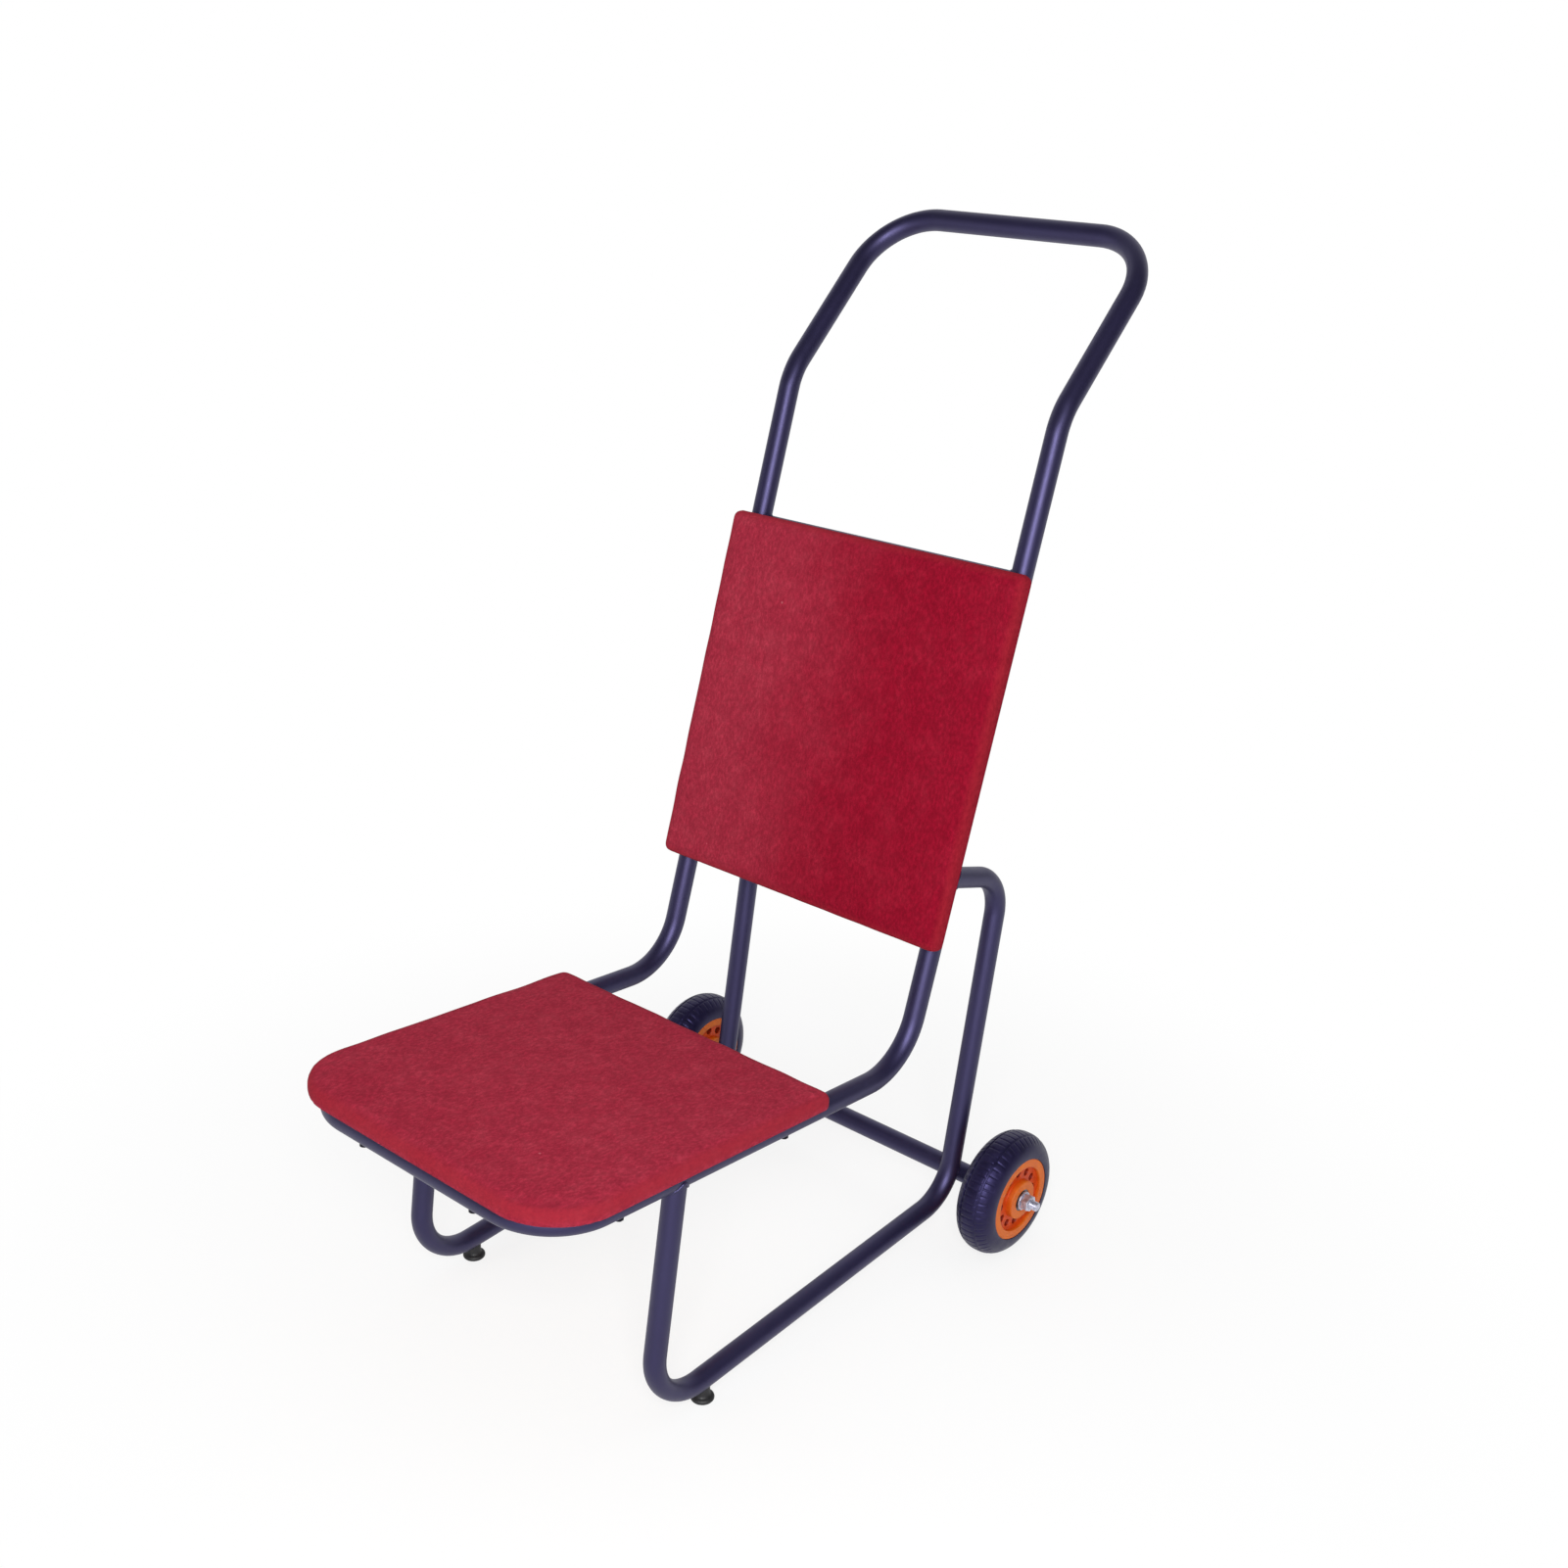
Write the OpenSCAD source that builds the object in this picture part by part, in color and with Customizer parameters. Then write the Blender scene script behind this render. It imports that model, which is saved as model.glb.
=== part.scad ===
// Two-wheeled trolley for moving a stack of chairs: a bent tube frame with a felt covered seat and back,
// a side loop under each side, an axle bar behind the loops, two wheels and two round feet.
// Millimetres. X runs across the trolley, Y to the rear and Z up. The origin lies on the floor under the
// middle of the whole length.

/* [Frame] */
// Outside diameter of the frame tube
tube_d = 25; // [22:0.5:28]
// Wall of the frame tube
tube_wall = 1.5; // [1.2:0.1:2.5]
// Width of the frame between the tube centre lines
frame_w = 386; // [360:1:420]
// Lean of the uprights to the rear, in degrees
back_lean = 16; // [13:0.5:18]
// Rise of the seat frame to the front, in degrees
seat_rise = 3.5; // [2:0.5:5]
// Lean of the handle to the rear, in degrees
handle_lean = 45; // [38:1:52]
// Upright, from the seat corner to the knee
back_len = 755; // [720:5:800]
// Handle, from the knee to its cross bar
handle_len = 244; // [220:1:280]
// Seat frame, from the seat corner to its front bar
seat_len = 553; // [540:1:580]
// Height of the seat corner above the floor
corner_h = 286; // [275:1:300]
// Bend radius of the handle's corners
handle_bend_r = 80; // [65:1:90]
// Bend radius of the knees
knee_r = 80; // [60:1:100]
// Bend radius between upright and seat frame
seat_bend_r = 80; // [60:1:90]
// Bend radius of the seat frame's front corners
front_bend_r = 73; // [60:1:85]

/* [Side loops] */
// Place of the loop's upper end on the upright, from the seat corner
loop_at = 231; // [220:1:245]
// Reach of the loop behind the upright
loop_reach = 114; // [105:1:125]
// Loop's rear lower corner, behind the seat corner
heel_back = 114; // [105:1:120]
// Height of the loop's rear lower corner
heel_h = 58; // [52:1:62]
// Loop's front lower corner, ahead of the seat corner
toe_front = 416; // [405:1:430]
// Height of the loop's front lower corner
toe_h = 23; // [21:0.5:26]
// Place of the loop's front leg on the seat frame, from the seat corner
leg_at = 378; // [370:1:390]
// Bend radius at the top of the loop
loop_top_r = 55; // [45:1:60]
// Bend radius at the loop's rear lower corner
heel_r = 60; // [50:1:65]
// Bend radius at the loop's front lower corner
toe_r = 64; // [55:1:70]

/* [Panels] */
// Width of the covered panels
panel_w = 431; // [410:1:445]
// Lower edge of the back panel, from the seat corner along the upright
back_from = 150; // [140:1:160]
// Upper edge of the back panel, from the seat corner along the upright
back_to = 580; // [560:1:600]
// Rear edge of the seat panel, from the seat corner along the seat frame
seat_from = 157; // [145:1:170]
// Front edge of the seat panel, from the seat corner along the seat frame
seat_to = 570; // [566:1:600]
// Corner radius of the seat panel at its front
seat_front_r = 80; // [65:1:90]
// Corner radius of the other panel corners
panel_corner_r = 9; // [9:1:20]
// Thickness of the board
board_t = 13; // [9:0.5:15]
// Thickness of the felt over the board
felt_t = 4.5; // [2.5:0.5:5]
// Roll radius of the felt at the panel's face edge
roll_r = 7; // [5:0.5:8]
// Rise of the felt at the middle of a panel
crown = 1.5; // [0.5:0.5:3]

/* [Wheels] */
// Diameter of a wheel over its tyre
wheel_d = 160; // [150:1:170]
// Width of a tyre
tyre_w = 52; // [50:1:56]
// Gap between a side loop and the tyre
tyre_gap = 31; // [30:1:48]
// Shoulder radius of the tyre
tyre_shoulder_r = 24; // [20:0.5:24.5]
// Diameter of the rim over its lips
rim_d = 103; // [98:1:108]
// Width of the rim over its lips
rim_w = 51; // [48:1:54]
// Diameter of the rim's centre ring
hub_d = 50; // [42:1:52]
// Length of the hub
hub_len = 57; // [54:1:64]
// Number of holes in the rim's disc
rim_holes = 12; // [8:1:14]
// Diameter of those holes
rim_hole_d = 9; // [6:0.5:10]
// Diameter of the axle rod
axle_d = 12; // [10:1:14]

/* [Feet] */
// Place of a foot, ahead of the seat corner
foot_front = 331; // [310:1:340]
// Diameter of a foot's pad
foot_d = 27; // [24:1:32]
// Height of a foot's pad
foot_pad_h = 6; // [4:0.5:8]

/* [Hidden] */
$fn = 64;

// Clearances
weld_gap = 0.1;
seat_gap = 0.1;
fit_gap = 0.1;
run_gap = 0.05;
side_gap = 0.3;
overrun = 2;

// Tube
tube_r = tube_d / 2;
bore_r = tube_r - tube_wall;
half_w = frame_w / 2;
seam_gap = 0.2;
seam_len = 1.6;
seam_proud = 0.02;
sleeve_len = 90;
sleeve_wall = 2;
plug_len = 20;

// Panels
low_roll_r = 2;
board_skin = 3;
crown_inset_share = 0.22;
joint_share = 0.52;
panel_z = tube_r + seat_gap;
face_z = panel_z + board_t + felt_t;
split_at = back_from + joint_share * (back_to - back_from);

// Upper rail, its top a little above the back panel
rail_rise = 4.5;
rail_at = back_to + rail_rise - tube_r;

// Screws
screw_d = 5;
screw_head_d = 10;
screw_head_h = 3.2;
screw_bite_share = 0.75;
screw_slot_w = 1.2;
screw_slot_deep_share = 0.45;
back_screw_low = 36;
back_screw_high = 62;
seat_screw_rear = 52;
seat_screw_front = 95;
rail_screw_share = 0.5;
front_screw_share = 0.45;

// Axle and hub
spacer_len = 5;
spacer_d = 20;
bearing_d = 28;
bearing_w = 8;
bearing_inset = 1;
bearing_bead_d = 20;
bearing_groove_deep = 0.8;
hub_bore_d = 22;
washer_d = 24;
washer_t = 2.5;
nut_flats = 19;
nut_h = 10;
nut_chamfer = 1.2;
nut_sides = 6;
rod_end = 10;
rod_chamfer = 1.2;
rim_lip_h = 9;
rim_lip_t = 4;
rim_seat_deep = 3;
rim_recess = 6;
rim_hole_share = 0.5;
tread_groove_w = 2;
tread_groove_deep = 1.5;
tread_groove_share = 0.4;

// Feet
stud_d = 8;
stud_sink_share = 0.45;
foot_neck_d = 17;
foot_edge = 1.5;

// Directions and main points, measured from a point on the floor under the seat corner
back_dir = [0, sin(back_lean), cos(back_lean)];
rear_dir = [0, cos(back_lean), -sin(back_lean)];
seat_dir = [0, -cos(seat_rise), sin(seat_rise)];
handle_dir = [0, sin(handle_lean), cos(handle_lean)];
function side_pt(s, p) = [s * half_w, p[1], p[2]];
corner = [0, 0, corner_h];
knee = corner + back_len * back_dir;
bar = knee + handle_len * handle_dir;
front = corner + seat_len * seat_dir;
split = corner + split_at * back_dir;
loop_top = corner + loop_at * back_dir;
loop_back = loop_top + loop_reach * rear_dir;
heel = [0, heel_back, heel_h];
toe = [0, -toe_front, toe_h];
leg_top = corner + leg_at * seat_dir;
run_dir = unit(heel - toe);
post_dir = unit(loop_back - heel);

// The axle bar lies against the rear of both side loops, at the height of the wheel centre
axle_z = wheel_d / 2;
heel_half = acos(post_dir * -run_dir) / 2;
heel_mid = heel + unit(post_dir - run_dir) * heel_r / sin(heel_half);
bar_off = tube_d + weld_gap;
heel_sine = (heel_mid[2] - axle_z) / (heel_r + bar_off);
on_bend = heel_sine > post_dir[1];
bend_y = heel_mid[1] + (heel_r + bar_off) * sqrt(1 - heel_sine * heel_sine);
post_y = heel[1] + (axle_z - heel[2]) * post_dir[1] / post_dir[2] + bar_off / post_dir[2];
axle_y = on_bend ? bend_y : post_y;

// Places across the axle
wheel_x = half_w + tube_r + tyre_gap + tyre_w / 2;
hub_in = wheel_x - hub_len / 2;
hub_out = wheel_x + hub_len / 2;
spacer_in = hub_in - side_gap - spacer_len;
bar_half = spacer_in - seat_gap;
washer_in = hub_out + side_gap;
nut_in = washer_in + washer_t + seat_gap;
rod_half = nut_in + nut_h + rod_end;

// The frame stands with the middle of its length over the origin
seat_low_front = corner + seat_to * seat_dir;
seat_normal = [0, sin(seat_rise), cos(seat_rise)];
front_y = seat_low_front[1] + panel_z * seat_normal[1];
rear_y = bar[1] + tube_r;
shift_y = -(front_y + rear_y) / 2;

function unit(v) = v / norm(v);
function aside(d) = unit(abs(d[0]) < 0.9 ? cross(d, [1, 0, 0]) : cross(d, [0, 1, 0]));
function frame_of(x, y, z, p) = [
  [x[0], y[0], z[0], p[0]],
  [x[1], y[1], z[1], p[1]],
  [x[2], y[2], z[2], p[2]],
  [0, 0, 0, 1]
];

module placed() {
  translate([0, shift_y, 0]) children();
}

// Local frame of the back: y runs up the uprights from the seat corner, z to the front
module at_back() {
  placed() translate(corner) rotate([90 - back_lean, 0, 0]) children();
}

// Local frame of the seat: y runs to the front along the seat frame, z up
module at_seat() {
  placed() translate(corner) rotate([-seat_rise, 0, 0]) rotate([0, 0, 180]) children();
}

// Stands along the axle, z to the right
module at_axle() {
  placed() translate([0, axle_y, axle_z]) rotate([0, 90, 0]) children();
}

module along(p, d) {
  x = aside(d);
  multmatrix(frame_of(x, cross(d, x), d, p)) children();
}

module ring(outer_r, inner_r) {
  difference() {
    circle(outer_r);
    circle(inner_r);
  }
}

module straight_tube(a, b, outer_r, inner_r) {
  along(a, unit(b - a)) linear_extrude(norm(b - a)) ring(outer_r, inner_r);
}

module bend(c, u, v, r, outer_r, inner_r) {
  turn = acos(u * v);
  n = unit(v - (u * v) * u);
  start = c - u * r * tan(turn / 2);
  multmatrix(frame_of(-n, u, cross(-n, u), start + n * r))
    rotate_extrude(angle = turn) translate([r, 0]) ring(outer_r, inner_r);
}

// A tube along a row of points, with a bend at each inner point and a hair-thin band over each seam
module bent_tube(pts, radii, outer_r, inner_r) {
  last = len(pts) - 1;
  dirs = [for (i = [0 : last - 1]) unit(pts[i + 1] - pts[i])];
  cuts = [for (i = [0 : last])
    i == 0 || i == last ? 0 : radii[i - 1] * tan(acos(dirs[i - 1] * dirs[i]) / 2)];
  starts = [for (i = [0 : last - 1]) pts[i] + (i == 0 ? 0 : cuts[i] + seam_gap) * dirs[i]];
  ends = [for (i = [0 : last - 1]) pts[i + 1] - (i == last - 1 ? 0 : cuts[i + 1] + seam_gap) * dirs[i]];
  for (i = [0 : last - 1])
    straight_tube(starts[i], ends[i], outer_r, inner_r);
  for (i = [1 : last - 1]) {
    bend(pts[i], dirs[i - 1], dirs[i], radii[i - 1], outer_r, inner_r);
    seam_band(pts[i] - cuts[i] * dirs[i - 1], dirs[i - 1], outer_r, inner_r);
    seam_band(pts[i] + cuts[i] * dirs[i], dirs[i], outer_r, inner_r);
  }
}

module seam_band(p, d, outer_r, inner_r) {
  along(p - d * seam_len / 2, d) linear_extrude(seam_len) ring(outer_r + seam_proud, inner_r - seam_proud);
}

module rod(a, b, r) {
  along(a, unit(b - a)) cylinder(h = norm(b - a), r = r);
}

// Places of the screws, as [across, along]
back_screw_spots = [for (s = [-1, 1], y = [back_from + back_screw_low, back_to - back_screw_high])
  [s * half_w, y]];
rail_screw_spots = [for (s = [-1, 1]) [s * half_w * rail_screw_share, rail_at]];
seat_screw_spots = concat(
  [for (s = [-1, 1], y = [seat_from + seat_screw_rear, seat_len - seat_screw_front]) [s * half_w, y]],
  [for (s = [-1, 1]) [s * half_w * front_screw_share, seat_len]]
);

module screw_holes(spots, top) {
  for (p = spots)
    translate([p[0], p[1], -tube_r - overrun])
      cylinder(h = tube_r + overrun + top, r = screw_d / 2 + fit_gap);
}

// Pan head screws that come through the tube into the board
module screws(spots) {
  bite = panel_z + board_t * screw_bite_share;
  for (p = spots)
    translate([p[0], p[1], 0]) {
      difference() {
        translate([0, 0, -tube_r - seat_gap - screw_head_h]) cylinder(h = screw_head_h, d = screw_head_d);
        translate([-screw_head_d / 2, -screw_slot_w / 2, -tube_r - seat_gap - screw_head_h - overrun])
          cube([screw_head_d, screw_slot_w, overrun + screw_head_h * screw_slot_deep_share]);
      }
      translate([0, 0, -tube_r - seat_gap]) cylinder(h = tube_r + seat_gap + bite, d = screw_d);
    }
}

// Panel outline with one corner radius at each end
module plan(w, from, to, from_r, to_r) {
  translate([-w / 2, from + from_r]) square([w, to - from - from_r - to_r]);
  translate([-w / 2 + from_r, from]) square([w - 2 * from_r, from_r]);
  translate([-w / 2 + to_r, to - to_r]) square([w - 2 * to_r, to_r]);
  for (s = [-1, 1]) {
    translate([s * (w / 2 - from_r), from + from_r]) circle(from_r);
    translate([s * (w / 2 - to_r), to - to_r]) circle(to_r);
  }
}

// One corner of a covered panel, rolled at the face and eased at the rear
module rolled_corner(corner_r) {
  for (e = [[roll_r, face_z - roll_r], [low_roll_r, panel_z + low_roll_r]])
    translate([0, 0, e[1]]) rotate_extrude($fn = 40) intersection() {
      translate([corner_r - e[0], 0]) circle(e[0], $fn = 24);
      translate([0, -e[0]]) square([corner_r, 2 * e[0]]);
    }
}

module cover_form(from, to, from_r, to_r) {
  inset = crown_inset_share * (to - from);
  hull() {
    for (s = [-1, 1]) {
      translate([s * (panel_w / 2 - from_r), from + from_r, 0]) rolled_corner(from_r);
      translate([s * (panel_w / 2 - to_r), to - to_r, 0]) rolled_corner(to_r);
    }
    translate([-panel_w / 2 + inset, from + inset, face_z])
      cube([panel_w - 2 * inset, to - from - 2 * inset, crown]);
  }
}

module board(from, to, from_r, to_r, gap, below) {
  skin = board_skin - gap;
  translate([0, 0, panel_z - below])
    linear_extrude(board_t + gap + below)
      plan(panel_w - 2 * skin, from + skin, to - skin, from_r - skin, to_r - skin);
}

module handle_bow() {
  color("#2b2a44")
    difference() {
      placed() bent_tube(
        [side_pt(-1, split), side_pt(-1, knee), side_pt(-1, bar),
         side_pt(1, bar), side_pt(1, knee), side_pt(1, split)],
        [knee_r, handle_bend_r, handle_bend_r, knee_r], tube_r, bore_r);
      at_back() screw_holes(back_screw_spots, tube_r + overrun);
    }
}

module seat_bow() {
  color("#2b2a44")
    difference() {
      placed() bent_tube(
        [side_pt(-1, split), side_pt(-1, corner), side_pt(-1, front),
         side_pt(1, front), side_pt(1, corner), side_pt(1, split)],
        [seat_bend_r, front_bend_r, front_bend_r, seat_bend_r], tube_r, bore_r);
      at_back() screw_holes(back_screw_spots, tube_r + overrun);
      at_seat() screw_holes(seat_screw_spots, tube_r + overrun);
    }
}

// Plain sleeves inside the uprights, where the two bows meet behind the back panel
module frame_sleeves() {
  color("silver")
    at_back()
      for (s = [-1, 1])
        translate([s * half_w, split_at - sleeve_len / 2, 0]) rotate([-90, 0, 0])
          linear_extrude(sleeve_len) ring(bore_r - fit_gap, bore_r - fit_gap - sleeve_wall);
}

// A side loop, cut to fit the upright at its top and the seat frame at its front leg
module side_loop(s) {
  color("#2b2a44")
    placed() difference() {
      bent_tube(
        [for (p = [loop_top, loop_back, heel, toe, leg_top]) side_pt(s, p)],
        [loop_top_r, heel_r, toe_r], tube_r, bore_r);
      rod(side_pt(s, loop_top - 2 * tube_d * back_dir), side_pt(s, loop_top + 2 * tube_d * back_dir),
          tube_r + weld_gap);
      rod(side_pt(s, leg_top - 2 * tube_d * seat_dir), side_pt(s, leg_top + 2 * tube_d * seat_dir),
          tube_r + weld_gap);
      foot_axis(s) cylinder(h = foot_rise, r = stud_d / 2 + fit_gap);
    }
}

module left_loop() {
  side_loop(-1);
}

module right_loop() {
  side_loop(1);
}

// Tube behind both loops that carries the axle rod
module axle_bar() {
  color("#2b2a44")
    at_axle() translate([0, 0, -bar_half]) linear_extrude(2 * bar_half) ring(tube_r, bore_r);
}

// Tube between the uprights behind the top edge of the back panel
module upper_rail() {
  color("#2b2a44")
    at_back() difference() {
      translate([-half_w, rail_at, 0]) rotate([0, 90, 0]) linear_extrude(frame_w) ring(tube_r, bore_r);
      for (s = [-1, 1])
        translate([s * half_w, rail_at - tube_d, 0]) rotate([-90, 0, 0])
          cylinder(h = 2 * tube_d, r = tube_r + weld_gap);
      screw_holes(rail_screw_spots, tube_r + overrun);
    }
}

module back_board() {
  color("#b58a5c")
    at_back() difference() {
      board(back_from, back_to, panel_corner_r, panel_corner_r, 0, 0);
      screw_holes(concat(back_screw_spots, rail_screw_spots), panel_z + board_t * screw_bite_share + fit_gap);
    }
}

module back_cover() {
  color("#9c2233")
    at_back() difference() {
      cover_form(back_from, back_to, panel_corner_r, panel_corner_r);
      board(back_from, back_to, panel_corner_r, panel_corner_r, fit_gap, overrun);
    }
}

module seat_board() {
  color("#b58a5c")
    at_seat() difference() {
      board(seat_from, seat_to, panel_corner_r, seat_front_r, 0, 0);
      screw_holes(seat_screw_spots, panel_z + board_t * screw_bite_share + fit_gap);
    }
}

module seat_cover() {
  color("#9c2233")
    at_seat() difference() {
      cover_form(seat_from, seat_to, panel_corner_r, seat_front_r);
      board(seat_from, seat_to, panel_corner_r, seat_front_r, fit_gap, overrun);
    }
}

module back_screws() {
  color("silver") at_back() screws(back_screw_spots);
}

module rail_screws() {
  color("silver") at_back() screws(rail_screw_spots);
}

module seat_screws() {
  color("silver") at_seat() screws(seat_screw_spots);
}

// Rod through the bar and both wheels, with eased ends
module axle_rod() {
  color("silver")
    at_axle() rotate_extrude() polygon([
      [0, -rod_half],
      [axle_d / 2 - rod_chamfer, -rod_half],
      [axle_d / 2, -rod_half + rod_chamfer],
      [axle_d / 2, rod_half - rod_chamfer],
      [axle_d / 2 - rod_chamfer, rod_half],
      [0, rod_half]
    ]);
}

// Plugs that hold the rod in the middle of the bar's ends
module axle_plugs() {
  color("#333333")
    at_axle()
      for (s = [-1, 1])
        translate([0, 0, s > 0 ? bar_half - plug_len : -bar_half])
          linear_extrude(plug_len) ring(bore_r - fit_gap, axle_d / 2 + run_gap);
}

module inner_spacers() {
  color("silver")
    at_axle()
      for (s = [-1, 1])
        translate([0, 0, s > 0 ? spacer_in : -spacer_in - spacer_len])
          linear_extrude(spacer_len) ring(spacer_d / 2, axle_d / 2 + run_gap);
}

module outer_washers() {
  color("silver")
    at_axle()
      for (s = [-1, 1])
        translate([0, 0, s > 0 ? washer_in : -washer_in - washer_t])
          linear_extrude(washer_t) ring(washer_d / 2, axle_d / 2 + run_gap);
}

module nut() {
  nut_r = nut_flats / sqrt(3);
  difference() {
    intersection() {
      cylinder(h = nut_h, r = nut_r, $fn = nut_sides);
      rotate_extrude() polygon([
        [0, 0],
        [nut_r, 0],
        [nut_r, nut_h - nut_chamfer],
        [nut_r - nut_chamfer * 2, nut_h],
        [0, nut_h]
      ]);
    }
    translate([0, 0, -overrun]) cylinder(h = nut_h + 2 * overrun, r = axle_d / 2 + run_gap);
  }
}

module axle_nuts() {
  color("silver")
    at_axle()
      for (s = [-1, 1])
        rotate([s > 0 ? 0 : 180, 0, 0]) translate([0, 0, nut_in]) nut();
}

// Height of the loop's lower run over the floor where a foot stands
foot_run_z = toe[2] + (toe_front - foot_front) * run_dir[2] / run_dir[1];
foot_rise = foot_run_z;

// Upright line of a foot, from the floor
module foot_axis(s) {
  translate([s * half_w, -foot_front, 0]) children();
}

// Round foot with a neck that fits the underside of the tube
module foot(s) {
  color("#1c1c1e")
    placed() difference() {
      foot_axis(s) rotate_extrude() polygon([
        [0, 0],
        [foot_d / 2 - foot_edge, 0],
        [foot_d / 2, foot_edge],
        [foot_d / 2, foot_pad_h - foot_edge],
        [foot_d / 2 - foot_edge, foot_pad_h],
        [foot_neck_d / 2, foot_pad_h],
        [foot_neck_d / 2, foot_run_z],
        [0, foot_run_z]
      ]);
      rod(side_pt(s, toe), side_pt(s, heel), tube_r + seat_gap);
      foot_axis(s) translate([0, 0, foot_pad_h * stud_sink_share])
        cylinder(h = foot_run_z, r = stud_d / 2 + fit_gap);
    }
}

module left_foot() {
  foot(-1);
}

module right_foot() {
  foot(1);
}

// Studs that hold the feet in the tube
module foot_studs() {
  low = foot_pad_h * stud_sink_share + seat_gap;
  color("silver")
    placed()
      for (s = [-1, 1])
        foot_axis(s) translate([0, 0, low]) cylinder(h = foot_run_z - low - overrun, d = stud_d);
}

rim_r = rim_d / 2;
rim_bed_r = rim_r - rim_seat_deep;
tyre_r = wheel_d / 2;

module at_wheel(s) {
  at_axle() translate([0, 0, s * wheel_x]) rotate([s > 0 ? 0 : 180, 0, 0]) children();
}

module tyre(s) {
  flat = tyre_w / 2 - tyre_shoulder_r;
  bed_w = rim_w - 2 * rim_lip_t - 2 * fit_gap;
  groove_x = tyre_w / 2 * tread_groove_share;
  groove_off = max(0, groove_x - flat);
  groove_r = tyre_r - tyre_shoulder_r + sqrt(pow(tyre_shoulder_r, 2) - pow(groove_off, 2)) - tread_groove_deep;
  color("#26252b")
    at_wheel(s) rotate_extrude() difference() {
      union() {
        intersection() {
          union() {
            for (e = [-1, 1]) translate([tyre_r - tyre_shoulder_r, e * flat]) circle(tyre_shoulder_r);
            translate([rim_bed_r, -flat]) square([tyre_r - rim_bed_r, 2 * flat]);
          }
          translate([rim_r + fit_gap, -tyre_w]) square([tyre_r, 2 * tyre_w]);
        }
        translate([rim_bed_r + fit_gap, -bed_w / 2])
          square([rim_r - rim_bed_r + tyre_shoulder_r / 2, bed_w]);
      }
      for (e = [-1, 1])
        translate([groove_r, e * groove_x - tread_groove_w / 2])
          square([tyre_r - groove_r + overrun, tread_groove_w]);
    }
}

// Rim with a lip at each side, a recessed disc with holes and a hub for two bearings
module rim(s) {
  hub_r = hub_d / 2;
  ring_r = rim_r - rim_lip_h;
  disc_w = rim_w - 2 * rim_recess;
  seat_w = bearing_w + bearing_inset + fit_gap;
  color("#e8641b")
    at_wheel(s) difference() {
      rotate_extrude() {
        difference() {
          translate([ring_r, -rim_w / 2]) square([rim_r - ring_r, rim_w]);
          translate([rim_bed_r, -rim_w / 2 + rim_lip_t]) square([rim_r, rim_w - 2 * rim_lip_t]);
        }
        translate([hub_r, -disc_w / 2]) square([ring_r - hub_r, disc_w]);
        difference() {
          translate([hub_bore_d / 2, -hub_len / 2]) square([hub_r - hub_bore_d / 2, hub_len]);
          for (e = [-1, 1])
            translate([0, e > 0 ? hub_len / 2 - seat_w : -hub_len / 2 - overrun])
              square([bearing_d / 2 + fit_gap, seat_w + overrun]);
        }
      }
      for (i = [0 : rim_holes - 1])
        rotate([0, 0, i * 360 / rim_holes])
          translate([hub_r + (ring_r - hub_r) * rim_hole_share, 0, -disc_w / 2 - overrun])
            cylinder(h = disc_w + 2 * overrun, d = rim_hole_d, $fn = 32);
    }
}

// Two ball bearings, each with a shallow groove between its rings
module bearings(s) {
  color("#8c8c90")
    at_wheel(s)
      for (e = [-1, 1])
        translate([0, 0, e > 0 ? hub_len / 2 - bearing_inset - bearing_w : -hub_len / 2 + bearing_inset])
          rotate_extrude() difference() {
            translate([axle_d / 2 + run_gap, 0]) square([(bearing_d - axle_d) / 2 - run_gap, bearing_w]);
            for (z = [-overrun, bearing_w - bearing_groove_deep])
              translate([(axle_d + bearing_bead_d) / 4, z])
                square([(bearing_d - bearing_bead_d) / 2, bearing_groove_deep + overrun]);
          }
}

module left_tyre() {
  tyre(-1);
}

module left_rim() {
  rim(-1);
}

module left_bearings() {
  bearings(-1);
}

module right_tyre() {
  tyre(1);
}

module right_rim() {
  rim(1);
}

module right_bearings() {
  bearings(1);
}

handle_bow();
seat_bow();
frame_sleeves();
left_loop();
right_loop();
axle_bar();
upper_rail();
back_board();
back_cover();
seat_board();
seat_cover();
back_screws();
rail_screws();
seat_screws();
axle_rod();
axle_plugs();
inner_spacers();
outer_washers();
axle_nuts();
left_foot();
right_foot();
foot_studs();
left_tyre();
left_rim();
left_bearings();
right_tyre();
right_rim();
right_bearings();
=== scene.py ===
import math

import bmesh
import bpy
import numpy as np
from mathutils import Matrix, Vector


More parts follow.
